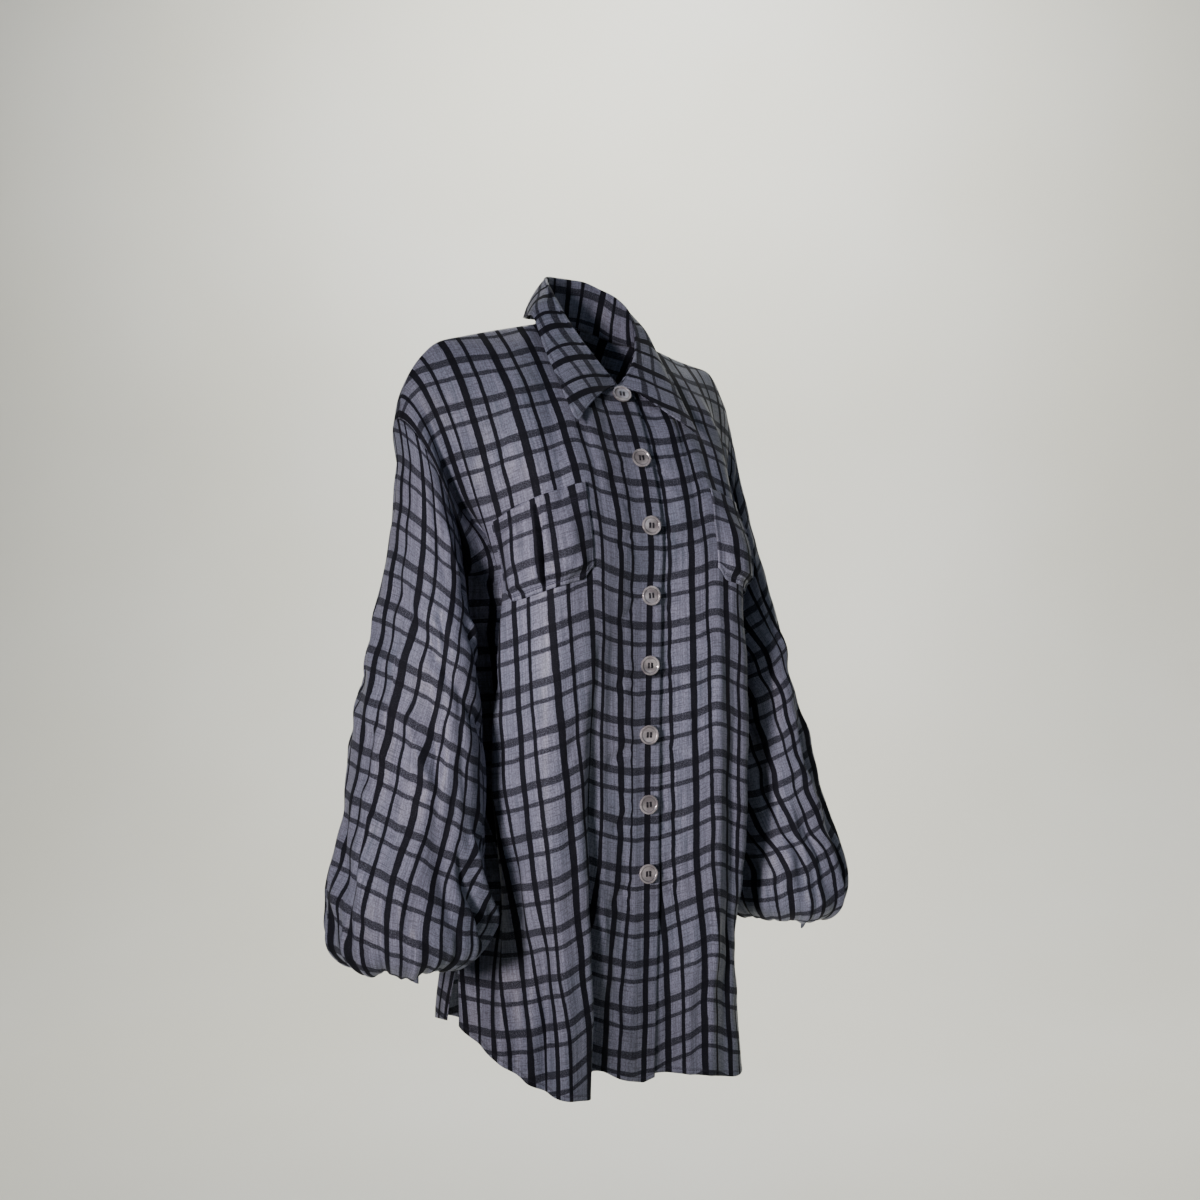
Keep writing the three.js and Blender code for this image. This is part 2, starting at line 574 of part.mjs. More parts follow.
// The panels' armhole edge is a chain of straight pieces from row to row.
function armholeEdge(angle) {
  const back = angle > Math.PI;
  const v = (back ? 2 * Math.PI - angle : angle) / Math.PI;
  let i = 0;
  while (i < UPPER_ROWS.length - 1 && ROWS[i + 1] < v) i += 1;
  const at = (row) => armhole((back ? -1 : 1) * Math.PI * row);
  return at(ROWS[i]).lerp(at(ROWS[i + 1]), (v - ROWS[i]) / (ROWS[i + 1] - ROWS[i]));
}

function sleeve(side, swing) {
  const points = grid(SLEEVE.length, SLEEVE_COLUMNS, (i, j) => {
    const angle = (2 * Math.PI * j) / SLEEVE_COLUMNS;
    if (i > 0) return sleevePoint(SLEEVE[i], angle, swing);
    const edge = armholeEdge(angle);
    const below = sleevePoint(SLEEVE[1], angle, swing).sub(edge);
    return edge.addScaledVector(below, (SEAM_GAP * 1.5) / below.length());
  });
  const normals = gridNormals(points, true, false);
  const lowest = SLEEVE.findIndex((row, i) => i > 0 && row.z > SLEEVE[i - 1].z) - 1;
  for (let j = 0; j < SLEEVE_COLUMNS; j += 1) {
    const angle = (2 * Math.PI * j) / SLEEVE_COLUMNS;
    normals[0][j] = armholeNormal(angle, 1);
    for (let i = 1; i < lowest; i += 1) {
      points[i][j].addScaledVector(normals[i][j], sleeveFold(angle, points[i][j].z));
    }
  }
  return side < 0 ? mirror({ points, normals }) : { points, normals };
}

// ---- cuffs ----------------------------------------------------------------------------------
// A strip that goes once round the wrist and laps over its own start.
function cuff(side, swing) {
  const middle = SLEEVE.at(-1);
  const turn = 360 + CUFF.lapAngle;
  const points = grid(CUFF.rows, CUFF.columns + 1, (i, j) => {
    const along = (turn * j) / CUFF.columns;
    const down = i / (CUFF.rows - 1);
    const angle = THREE.MathUtils.degToRad(CUFF_TAB.facing - turn + along);
    const under = smooth(CUFF.stepAngle, CUFF.lapAngle, along);
    const radius = CUFF.radius - CUFF.lapStep * under;
    const droop = CUFF.tabDrop * smooth(turn - CUFF_TAB.reach, turn, along);
    const z = CUFF.top + swing - (CUFF.height + droop) * down;
    return new THREE.Vector3(middle.x + radius * Math.cos(angle), middle.y - radius * Math.sin(angle), z);
  });
  const normals = grid(CUFF.rows, CUFF.columns + 1, (i, j) => {
    const p = points[i][j];
    return new THREE.Vector3(p.x - middle.x, p.y - middle.y, 0).normalize();
  });
  return side < 0 ? mirror({ points, normals }) : { points, normals };
}

// ---- collar ---------------------------------------------------------------------------------
// The stand rises from the neck seam to the fold, and the fall comes down outside it.
function neckEdges(place) {
  return {
    front: new Polyline(leftNeckEdge.map(place)),
    back: new Polyline(backNeckEdge.map(place).reverse()),
  };
}
const NECK_EDGES = { right: neckEdges((p) => p.clone()), left: neckEdges(settle) };
const SHOULDER_T = COLLAR_SHOULDER / (COLLAR_COLUMNS / 2);

function neckSeam(t, edges) {
  if (t <= SHOULDER_T) return edges.front.at(t / SHOULDER_T);
  return edges.back.at((t - SHOULDER_T) / (1 - SHOULDER_T));
}

function collarSection(t, side) {
  const at = (name) => read(COLLAR, 't', name, t);
  const seam = neckSeam(t, side < 0 ? NECK_EDGES.right : NECK_EDGES.left);
  seam.x = Math.max(seam.x, COLLAR_END * smooth(1, 0.9, t));
  seam.z += SEAM_GAP;
  const fold = new THREE.Vector3(at('foldX'), at('foldY'), at('foldZ'));
  const edge = new THREE.Vector3(at('edgeX'), at('edgeY'), at('edgeZ'));
  const out = edge.clone().sub(fold).setZ(0).normalize();
  const down = new THREE.Vector3(0, 0, -COLLAR_ROLL);
  const inside = fold.clone().addScaledVector(out, -COLLAR_ROLL).add(down);
  const outside = fold.clone().addScaledVector(out, COLLAR_ROLL).add(down);
  const bulge = out.clone().multiplyScalar(at('belly') * COLLAR_BELLY.out);
  bulge.z = at('belly') * COLLAR_BELLY.up;
  const fall = (f) => outside.clone().lerp(edge, f).addScaledVector(bulge, 4 * f * (1 - f));
  const rest = [inside, fold, outside, ...COLLAR_FALL.map(fall), edge];
  return side < 0 ? [seam, ...rest].map(mirrored) : [seam, ...rest.map(settle)];
}

function collar() {
  const half = COLLAR_COLUMNS / 2;
  const sections = Array.from({ length: COLLAR_COLUMNS + 1 }, (_, j) => {
    const t = 1 - Math.abs(j - half) / half;
    return collarSection(t, j < half ? -1 : 1);
  });
  const points = grid(sections[0].length, sections.length, (i, j) => sections[j][i]);
  const normals = gridNormals(points, false, false);
  return { points, normals };
}

// ---- pockets --------------------------------------------------------------------------------
// The pocket's points are the front's own points, moved out; a groove down its middle is the
// inverted pleat.
function pocket(front) {
  const columns = FRONT_COLUMNS.flatMap((x, j) => (x >= POCKET.inner && x <= POCKET.outer ? [j] : []));
  const rows = ROWS.flatMap((v, i) => (v >= POCKET.topRow && v <= POCKET.footRow ? [i] : []));
  const middle = (POCKET.inner + POCKET.outer) / 2;
  const normals = grid(rows.length, columns.length, (i, j) => front.normals[rows[i]][columns[j]]);
  const points = grid(rows.length, columns.length, (i, j) => {
    const x = FRONT_COLUMNS[columns[j]];
    const side = 1 - Math.abs(x - middle) / (POCKET.outer - middle);
    const down = i / (rows.length - 1);
    const bag = smooth(0, POCKET_BAG.side, side) * smooth(0, POCKET_BAG.start, down)
      * smooth(1, POCKET_BAG.end, down);
    const groove = PLEAT.groove * Math.exp(-(((x - middle) / PLEAT.half) ** 2));
    const lift = POCKET_LIFT + WALL + (POCKET_BAG.height - groove) * bag;
    return front.points[rows[i]][columns[j]].clone().addScaledVector(normals[i][j], lift);
  });
  return { points, normals };
}

// ---- buttons --------------------------------------------------------------------------------
function buttonGeometry(radius) {
  const { rim, thick, dish, slope, bevel } = BUTTON;
  const profile = [
    new THREE.Vector2(0, 0),
    new THREE.Vector2(radius - bevel, 0),
    new THREE.Vector2(radius, bevel),
    new THREE.Vector2(radius, thick - bevel),
    new THREE.Vector2(radius - bevel, thick),
    new THREE.Vector2(radius - rim, thick),
    new THREE.Vector2(radius - rim - slope, thick - dish),
    new THREE.Vector2(0, thick - dish),
  ];
  const lathe = new THREE.LatheGeometry(profile, BUTTON.sides);
  return lathe.rotateX(Math.PI / 2);
}

// The place and the normal of a point of the right front on the centre line.
function centreFront(distance) {
  const neck = rightFront.points[0][1];
  let gone = 0;
  for (let i = 1; i < rightFront.points.length; i += 1) {
    const a = rightFront.points[i - 1][1];
    const b = rightFront.points[i][1];
    const step = a.distanceTo(b);
    if (gone + step >= distance) {
      const f = (distance - gone) / step;
      const along = b.clone().sub(a).normalize();
      return { point: a.clone().lerp(b, f), normal: new THREE.Vector3(0, along.z, -along.y).normalize() };
    }
    gone += step;
  }
  return { point: neck, normal: new THREE.Vector3(0, -1, 0) };
}

function button(name, point, normal, radius = BUTTON.radius) {
  const mesh = piece(name, buttonGeometry(radius), SHELL);
  mesh.position.copy(point).addScaledVector(normal, BUTTON.lift);
  mesh.quaternion.setFromUnitVectors(new THREE.Vector3(0, 0, 1), normal);
  return mesh;
}

// ---- the shirt ------------------------------------------------------------------------------
const shirt = new THREE.Group();
const wall = (name, { points, normals }, round = false) => {
  shirt.add(piece(name, wallGeometry(points, normals, round), SILK));
};

wall('front_right', rightFront);
wall('front_left', leftFront);
wall('back', back);
wall('collar', collar());
for (const [name, side] of [['right', -1], ['left', 1]]) {
  const swing = SLEEVE_SWING[name];
  wall(`sleeve_${name}`, settled(sleeve(side, swing)), true);
  wall(`cuff_${name}`, cuff(side, swing));
  wall(`pocket_${name}`, pocket(side < 0 ? rightFront : leftFront));
  const lapped = THREE.MathUtils.degToRad(CUFF_TAB.facing - CUFF.lapAngle / 2);
  const outward = new THREE.Vector3(side * Math.cos(lapped), -Math.sin(lapped), 0);
  const { x, y } = SLEEVE.at(-1);
  const middle = new THREE.Vector3(side * x, y, CUFF.top + swing - CUFF.height / 2);
  middle.addScaledVector(outward, CUFF.radius);
  shirt.add(button(`cuff_button_${name}`, middle, outward, CUFF_BUTTON_RADIUS));
}
for (let n = 0; n < BUTTON_COUNT; n += 1) {
  const distance = n === 0 ? FIRST_BUTTON : SECOND_BUTTON + (n - 1) * BUTTON_STEP;
  const { point, normal } = centreFront(distance);
  shirt.add(button(`button_${n + 1}`, point, normal));
}

export default shirt;
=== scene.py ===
# %% [markdown]
# # A silk shirt, worn and hollow
# This lesson builds a loose silk shirt the way it is sewn: two fronts, a back, bishop sleeves,
# cuffs, a folded collar, two pockets and a row of shell buttons. Each cloth piece is a grid of
# points over its own flat cut, so that the woven check can be laid on in millimetres.

# %% Set-up
import math
import bmesh
import bpy
import numpy as np
from mathutils import Matrix, Vector


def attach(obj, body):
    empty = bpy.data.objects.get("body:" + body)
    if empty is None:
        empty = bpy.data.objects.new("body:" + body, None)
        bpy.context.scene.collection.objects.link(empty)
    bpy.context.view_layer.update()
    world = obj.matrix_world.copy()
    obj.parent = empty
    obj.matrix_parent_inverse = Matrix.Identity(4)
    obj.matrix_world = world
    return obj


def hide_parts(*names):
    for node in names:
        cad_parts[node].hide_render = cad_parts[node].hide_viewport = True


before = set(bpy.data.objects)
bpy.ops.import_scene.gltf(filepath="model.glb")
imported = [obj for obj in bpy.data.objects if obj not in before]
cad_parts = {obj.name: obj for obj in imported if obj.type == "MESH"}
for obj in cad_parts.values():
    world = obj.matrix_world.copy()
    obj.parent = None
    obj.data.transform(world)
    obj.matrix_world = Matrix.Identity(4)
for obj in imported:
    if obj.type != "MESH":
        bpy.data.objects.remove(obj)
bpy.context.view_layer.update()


def put_in_scene(name, data):
    item = bpy.data.objects.new(name, data)
    bpy.context.scene.collection.objects.link(item)
    return item


# %% [markdown]
# ## Camera
# It stands to the wearer's right of the front, level with the chest, and looks very slightly
# down.

# %% Camera
camera_data = bpy.data.cameras.new("Camera")
camera_data.lens = 44.88
camera_data.sensor_width = 36.0
camera_data.shift_x = 0.0042
camera = put_in_scene("Camera", camera_data)
camera.location = (-0.975, -1.393, -0.300)
LOOK_DOWN, LOOK_ROUND = 0.44, 35
camera.rotation_euler = (math.radians(90 - LOOK_DOWN), 0, math.radians(-LOOK_ROUND))
bpy.context.scene.camera = camera
print("camera:", camera_data.lens, "mm lens")

# %% [markdown]
# ## Curves and tables
# A few short tables describe the garment: where the neckline runs, how the body's outline
# changes from chest to hem, how the sleeve swells. `read` turns a table's column into a smooth
# curve, and `smooth` is the soft step that fades one thing into another.

# %% Curves and tables
def smooth(a, b, x):
    t = np.clip((np.asarray(x, float) - a) / (b - a), 0, 1)
    return t * t * (3 - 2 * t)


def hermite(p0, m0, p1, m1, t):
    """A curve from p0 to p1 with the end slopes m0 and m1."""
    return ((2 * t**3 - 3 * t**2 + 1) * p0 + (t**3 - 2 * t**2 + t) * m0
            + (3 * t**2 - 2 * t**3) * p1 + (t**3 - t**2) * m1)


def table(names, *rows):
    """Rows of numbers as named columns."""
    return dict(zip(names.split(), np.array(rows, float).T))


def read(rows, key, name, at):
    k, v = rows[key], rows[name]
    if k[-1] < k[0]:
        k, v = k[::-1], v[::-1]
    slope = np.concatenate([[(v[1] - v[0]) / (k[1] - k[0])], (v[2:] - v[:-2]) / (k[2:] - k[:-2]),
                            [(v[-1] - v[-2]) / (k[-1] - k[-2])]])
    at = np.asarray(at, float)
    i = np.clip(np.searchsorted(k, at) - 1, 0, len(k) - 2)
    span = k[i + 1] - k[i]
    return hermite(v[i], slope[i] * span, v[i + 1], slope[i + 1] * span,
                   np.clip((at - k[i]) / span, 0, 1))


def lengths(points):
    """The distance run along each line of points; the points run along the last but one axis."""
    steps = np.linalg.norm(np.diff(points, axis=-2), axis=-1)
    return np.concatenate([np.zeros(steps.shape[:-1] + (1,)), np.cumsum(steps, axis=-1)], axis=-1)


def along(points, fraction):
    """Points at the given fractions of one line's length."""
    run = lengths(points)
    return np.stack([np.interp(np.asarray(fraction) * run[-1], run, points[:, k]) for k in range(3)], -1)


def smooth_line(points, steps=16):
    """Smooth lines through points, which lie along the last but one axis; both ends only steer."""
    p = np.asarray(points, float)
    pieces = [p[..., 1:2, :]]
    t = (np.arange(1, steps + 1) / steps)[:, None]
    for i in range(1, p.shape[-2] - 2):
        a, b, c, d = (p[..., i + k:i + k + 1, :] for k in (-1, 0, 1, 2))
        pieces.append(hermite(b, (c - a) / 2, c, (d - b) / 2, t))
    return np.concatenate(pieces, axis=-2)


def unit(v):
    return v / np.maximum(np.linalg.norm(v, axis=-1, keepdims=True), 1e-9)


# %% [markdown]
# ## The body of the shirt
# Millimetres, Z up, the front faces -Y. A point of the body is named by `u`, which runs from the
# centre line (0) to the armhole and side seam (1), and by `v`, which runs from the neckline and
# shoulder (0) over the chest (1) to the hem (2). The shoulders are wide and dropped, and the
# body hangs straight from them, so the cloth stands well away from any wearer.

# %% The body's measurements
# how far each front runs past the centre line, and how the left one sinks under the right
LAP, LAP_DROP, LAP_EASE = 15.8, 2.2, 50
TOP_WIDTH, CHEST_WIDTH, NECK_WIDTH = 290, 275, 66
NECK_U = NECK_WIDTH / TOP_WIDTH
HALF_GAP = 0.15  # half the gap left at a seam
SLIT = 13  # how far a side slit opens at the hem, each way
NECK_FRONT = table(
    "x y z", (0, -46, -80), (22, -42, -73), (42, -33, -56), (56, -18, -34), (63, -5, -16), (66, 8, -4))
NECK_BACK = table("x y z", (0, 62, 6), (30, 57, 6), (50, 44, 4), (61, 26, 0), (66, 8, -4))
SHOULDER = np.array([(66, 8, -4), (66, 8, -4), (115, 15, -15), (160, 22, -26), (187, 27, -34),
                     (203, 32, -48), (215, 38, -67), (223, 41, -90), (228, 42, -118), (228, 42, -118)])
FRONT_PULL = table(
    "u startX startY startZ endX endY endZ", (0, 0, -115, -165, 0, 30, -200),
    (0.06, 0, -115, -165, 0, 30, -200), (0.23, 0, -165, -195, 0, 12, -300),
    (0.45, -5, -190, -150, 0, -10, -280), (0.7, -20, -150, -120, 12, -70, -200),
    (1, 0, -160, -40, 0, 130, -60))
BACK_PULL = table(
    "u startX startY startZ endX endY endZ", (0, 0, 105, -190, 0, 25, -280),
    (0.12, 0, 120, -170, 0, 20, -285), (0.23, 0, 150, -140, 0, 10, -290),
    (0.45, -5, 185, -110, 0, 20, -280), (0.7, -10, 150, -90, 5, 50, -220),
    (1, 0, 130, -40, 0, -130, -60))
SECTIONS = table(
    "z front creaseX creaseY cornerX cornerY sideX sideY backX backY back",
    (-282, -104, 82, -116, 138, -95, 163, 30, 138, 106, 124),
    (-400, -101, 83, -116, 140, -97, 162, 30, 140, 108, 128),
    (-520, -99, 84, -116, 140, -97, 161, 30, 141, 108, 130),
    (-620, -98, 84, -116, 137, -95, 161, 29, 141, 105, 130),
    (-690, -97, 85, -117, 130, -92, 165, 24, 137, 101, 129),
    (-770, -95, 85, -115, 134, -93, 179, 11, 136, 99, 128),
    (-860, -91, 85, -112, 139, -97, 183, 8, 137, 100, 129))
FRONT_CHEST = table("u z", (0, -290), (0.1, -289), (0.31, -282), (0.75, -311), (1, -282))
BACK_CHEST = table("u z", (0, -290), (0.5, -288), (1, -282))
RIGHT_HEM = table(
    "u z", (0, -838), (0.12, -829), (0.24, -815), (0.3, -834), (0.42, -832), (0.55, -825), (0.8, -793),
    (1, -768))
LEFT_HEM = table("u z", (0, -829), (0.3, -838), (0.5, -849), (0.66, -840), (0.85, -795), (1, -768))
BACK_HEM = table("u z", (0, -848), (0.25, -830), (0.42, -804), (0.62, -785), (0.85, -773), (1, -768))

FRONT = dict(sign=-1, neck=NECK_FRONT, pull=FRONT_PULL, chest=FRONT_CHEST)
RIGHT_FRONT = dict(FRONT, hem=RIGHT_HEM)
LEFT_FRONT = dict(FRONT, hem=LEFT_HEM)
BACK = dict(sign=1, neck=NECK_BACK, pull=BACK_PULL, chest=BACK_CHEST, hem=BACK_HEM)
shoulder_line = smooth_line(SHOULDER)


def armhole(angle):
    """The oval seam of the sleeve."""
    angle = np.asarray(angle, float)[..., None]
    return (np.array([195.5, 36, -200]) + np.array([32.5, 6, 82]) * np.cos(angle)
            + np.array([0, -43, 0]) * np.sin(angle))


def top_edge(face, u):
    """The neckline, then the shoulder seam out to the armhole."""
    x = np.minimum(u / NECK_U, 1) * NECK_WIDTH
    neck = np.stack([x, read(face["neck"], "x", "y", x), read(face["neck"], "x", "z", x)], -1)
    shoulder = along(shoulder_line, np.clip((u - NECK_U) / (1 - NECK_U), 0, 1))
    return np.where((u > NECK_U)[:, None], shoulder, neck)


def outline(face, z, u):
    """The body's outline at the heights z, read at the fractions u from the centre to the side."""
    at = {name: read(SECTIONS, "z", name, z) for name in SECTIONS}
    slit = SLIT * smooth(-690, -775, z)
    zero = np.zeros_like(z)
    front, back = (zero, at["front"]), (zero, at["back"])
    crease, corner, rear = ((at[k + "X"], at[k + "Y"]) for k in ("crease", "corner", "back"))
    front_side = (at["sideX"], at["sideY"] - slit)
    back_side = (at["sideX"], at["sideY"] + slit)
    if face["sign"] < 0:
        chain = [(-crease[0], crease[1]), front, crease, corner, front_side, rear]
    else:
        chain = [(-rear[0], rear[1]), back, rear, back_side, corner]
    dense = smooth_line(np.moveaxis(np.array(chain), -1, 0))
    run = lengths(dense)
    goal = u * run[:, -1]
    i = np.clip((run < goal[:, None]).sum(1) - 1, 0, run.shape[1] - 2)
    rows = np.arange(len(goal))
    t = ((goal - run[rows, i]) / (run[rows, i + 1] - run[rows, i]))[:, None]
    flat = dense[rows, i] * (1 - t) + dense[rows, i + 1] * t
    return np.column_stack([flat, z])


def body_surface(face, u, rows):
    """A grid of points: one row for each v in rows, one column for each u."""
    away = np.abs(u)
    reach = np.append(away, 1.0)
    chest = read(face["chest"], "u", "z", reach)
    top, foot = top_edge(face, reach), outline(face, chest, reach)
    pull = [np.stack([read(face["pull"], "u", end + k, reach) for k in "XYZ"], -1)
            for end in ("start", "end")]
    turn = (smooth(0.5, 1, away) ** 1.4)[:, None]
    chest, hem = chest[:-1], read(face["hem"], "u", "z", away)
    points = []
    for v in rows:
        if v <= 1:
            columns = hermite(top, pull[0], foot, pull[1], v)
            edge = armhole(-face["sign"] * math.pi * v)
            points.append(columns[:-1] + turn * (edge - columns[-1]))
        else:
            points.append(outline(face, chest + (v - 1) * (hem - chest), away))
    points = np.array(points)
    points[..., 0] *= np.where(u < 0, -1, 1)
    return points


def settle(points):
    """The left shoulder and that side of the neck have settled a little lower."""
    x, z = points[..., 0], points[..., 2]
    drop = 9 * smooth(10, 60, x) * smooth(220, 120, x) * smooth(-200, -40, z)
    return points - np.stack([0 * drop, 0 * drop, drop], -1)


print("shoulder seam:", round(lengths(shoulder_line)[-1]), "mm")

# %% [markdown]
# ## Folds
# Light cloth never hangs in clean waves. Each main fold is placed as a soft trough or ridge
# along its own line in the flat cut; many faint ones, scattered with a fixed seed, sit between
# them. All of them push the surface in or out along its normals.

# %% Folds
def creases(x, y, rows):
    """Height of all folds at the flat points x, y. A row is the start x, y, the end x, y, a
    sideways bend, the half-width and the height; a trough is negative."""
    height = np.zeros_like(x)
    for x0, y0, x1, y1, bend, half, rise in rows:
        dx, dy = x1 - x0, y1 - y0
        size = math.hypot(dx, dy)
        t = ((x - x0) * dx + (y - y0) * dy) / size**2
        inside = np.clip(t, 0, 1)
        side = ((y - y0) * dx - (x - x0) * dy) / size - bend * 4 * inside * (1 - inside)
        width = half * (0.8 + 0.25 * np.sin(9 * t + x0) + 0.25 * inside)
        ends = smooth(-0.12, 0.3, t) * smooth(1.12, 0.72, t)
        height += rise * ends * np.exp(-np.abs(side / width) ** 1.7)
    return height


def scatter(seed, count, area, angle, spread, size, half, rise):
    """Rows of faint folds inside area (x0, y0, x1, y1), near one direction in degrees."""
    rng = np.random.default_rng(seed)
    rows = []
    for _ in range(count):
        x, y = rng.uniform(area[0], area[2]), rng.uniform(area[1], area[3])
        turn = math.radians(angle + rng.uniform(-spread, spread))
        length = size * rng.uniform(0.5, 1.3)
        rows.append((x, y, x + length * math.cos(turn), y + length * math.sin(turn),
                     rng.uniform(-0.08, 0.08) * length, half * rng.uniform(0.6, 1.3),
                     rise * rng.choice([-1, 1]) * rng.uniform(0.4, 1)))
    return rows


def ripple(x, y, seed, size, rise):
    """A faint unevenness with no direction."""
    rng = np.random.default_rng(seed)
    total = np.zeros_like(x)
    for _ in range(9):
        turn, phase = rng.uniform(0, math.tau, 2)
        k = math.tau / (size * rng.uniform(0.6, 1.6))
        total += np.sin(k * (x * math.cos(turn) + y * math.sin(turn)) + phase)
    return rise * total / 3


BUTTON_DISTANCES = [9] + [90 + 75.3 * n for n in range(7)]
NECK_TO_CHEST = 222
BODY_FOLDS = [
    (108, 180, 112, 420, -4, 13, -3), (140, 60, 146, 360, 5, 20, 3.5), (184, 230, 188, 570, 4, 15, -8),
    (206, 60, 208, 540, -2, 12, 5), (246, 230, 248, 560, 3, 12, -6), (262, 4, 196, 120, 6, 9, -4.5),
    (266, 10, 222, 170, 4, 9, 4), (270, 30, 236, 230, 4, 8, -5), (238, -120, 206, 0, -7, 12, -3),
    (120, -250, 172, -110, 6, 15, 2.5), (96, -240, 118, -60, 5, 14, -2.5),
    (30, -190, 60, -60, 4, 12, -2), (200, -190, 232, -90, 4, 11, 3.5)]
# Each button drags at the cloth round it, the lower ones more, where the lap is slacker.
pulls = []
for n, distance in enumerate(BUTTON_DISTANCES):
    y = distance - NECK_TO_CHEST
    slack = 1 + 0.12 * n
    pulls += [(14, y + 8, 44 + 4 * (n % 3), y + 30 + 8 * (n % 2), -4, 4.5, -1.7 * slack),
              (10, y - 3, 38 - 4 * (n % 2), y - 20 - 5 * (n % 3), 3, 4, -1.1),
              (13, y + 16, 27, y + 30, 2, 6, -1.5 * slack), (12, y + 1, 38, y + 5, 0, 4, 1.2)]
# The right front breaks over a long ridge and falls back into a deep shelf beside the buttons.
# Both fronts fall back deeply beside the sleeves.
RIGHT_CREASE = [
    (92, -30, 95, 640, 0, 7, 1.5), (54, 60, 50, 650, 2, 24, -9), (75, 90, 76, 650, 0, 12, -15),
    (73, 330, 73, 660, 0, 14, -10), (152, 350, 158, 620, 0, 13, -13), (238, -190, 232, 420, 0, 23, -40),
    (207, -60, 206, 300, 0, 9, 4), (126, 290, 128, 600, 0, 13, 5), (172, 400, 180, 600, 0, 10, 5)]
LEFT_CREASE = [
    (236, -150, 232, 400, 0, 22, -34), (86, -40, 88, 620, 0, 9, 5), (112, 80, 118, 600, 0, 15, -7),
    (40, 330, 34, 640, 3, 12, -3), (62, 380, 60, 640, 0, 8, 2.5)]
FRONT_AREA = (30, -180, 230, 480)
RIGHT_FOLDS = BODY_FOLDS + RIGHT_CREASE + pulls + scatter(3, 34, FRONT_AREA, 88, 24, 90, 7, 2.1)
LEFT_FOLDS = BODY_FOLDS + LEFT_CREASE + pulls + scatter(8, 34, FRONT_AREA, 92, 24, 90, 7, 2.1)
BACK_FOLDS = [
    (0, -120, 3, 600, 8, 22, -6), (55, -110, 58, 600, -5, 17, 7), (104, -70, 106, 600, 5, 16, -8),
    (154, -60, 150, 580, -4, 17, 7), (203, -20, 200, 540, 5, 14, -7), (240, 10, 238, 500, 0, 12, 4.5),
    (-58, -100, -60, 600, 6, 17, 6), (-107, -80, -101, 600, -5, 16, -8),
    (-152, -50, -157, 580, 4, 17, 7), (-200, -20, -204, 540, -6, 14, -7),
    (-241, 14, -240, 500, 0, 12, 4.5), (262, 4, 190, 90, 6, 9, -4), (-262, 4, -186, 96, -6, 9, -4),
    (30, -230, 70, -100, 4, 14, -2.5), (-34, -236, -62, -90, -4, 14, -2.5)]
BACK_FOLDS += scatter(11, 34, (-230, -180, 230, 480), 90, 22, 90, 8, 1.4)
print("folds:", len(RIGHT_FOLDS), "on each front,", len(BACK_FOLDS), "on the back")

# %% [markdown]
# ## Laying the check
# Woven checks show how cloth hangs. The warp stripes follow the columns of the cut, while the
# weft stripes sag at the centre front and fall away towards the side, where the chest takes up
# more cloth. So each point keeps its flat place in the cut, in millimetres, as its UV; a second
# UV holds the distance to the nearest hem and the run along it, for the stitching.

# %% Grids and walls
def face_normals(points, ring=False):
    wrap = np.concatenate([points[:, -2:-1], points, points[:, 1:2]], 1) if ring else points
    across = np.gradient(wrap, axis=1)
    if ring:
        across = across[:, 1:-1]
    return unit(np.cross(across, np.gradient(points, axis=0)))


SILK_WALL = 0.9


def build_cloth(name, points, normals, flat, hem, thick=SILK_WALL, ring=False):
    """A closed sheet: the outer grid, the same grid set back, and strips round its edges. With
    ring, the last column repeats the first, so that the flat coordinates can jump there."""
    rows, columns = points.shape[:2]
    outer = points.reshape(-1, 3)
    inner = (points - thick * normals).reshape(-1, 3)
    n = rows * columns
    grid = np.arange(n).reshape(rows, columns)
    a, b, c, d = grid[:-1, :-1], grid[1:, :-1], grid[1:, 1:], grid[:-1, 1:]
    front = np.stack([a, b, c, d], -1).reshape(-1, 4)
    rims = [(grid[0, 1:], grid[0, :-1]), (grid[-1, :-1], grid[-1, 1:])]
    if not ring:
        rims += [(grid[:-1, 0], grid[1:, 0]), (grid[1:, -1], grid[:-1, -1])]
    rim = np.concatenate([np.stack([p, q, q + n, p + n], -1) for p, q in rims])
    faces = np.concatenate([front, front[:, ::-1] + n, rim[:, ::-1]])
    corner = outer[front[:, 0]]
    facing = np.cross(outer[front[:, 1]] - corner, outer[front[:, 3]] - corner)
    if (facing * normals.reshape(-1, 3)[front[:, 0]]).sum() < 0:
        faces = faces[:, ::-1]
    mesh = bpy.data.meshes.new(name)
    mesh.from_pydata((np.concatenate([outer, inner]) / 1000).tolist(), [], faces.tolist())
    smooth_face = np.ones(len(faces), bool)
    smooth_face[len(front) * 2:] = False
    mesh.polygons.foreach_set("use_smooth", smooth_face)
    for layer, values in (("Cut", flat), ("Hem", hem)):
        both = np.concatenate([values.reshape(-1, 2)] * 2)
        mesh.uv_layers.new(name=layer).data.foreach_set("uv", both[faces.ravel()].ravel())
    mesh.update()
    mesh.validate()
    if ring:
        weld(mesh)
    return put_in_scene(name, mesh)


def weld(mesh):
    """Joins the two ends of a ring, which lie on each other."""
    work = bmesh.new()
    work.from_mesh(mesh)
    bmesh.ops.remove_doubles(work, verts=work.verts, dist=0.00001)
    work.to_mesh(mesh)
    work.free()


def finish_cloth(piece, node, material):
    piece.data.materials.append(material)
    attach(piece, "root")
    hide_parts(node)


WEFT_SAG = table(
    "x sag low", (0, -15, -22), (20, -15, -21), (60, -7, -8), (84, 0, 0), (130, -15, -17),
    (200, -36, -34), (275, -44, -40))
WEFT_DROP = table("y drop", (-260, -13), (260, -13), (380, -10), (520, -4))
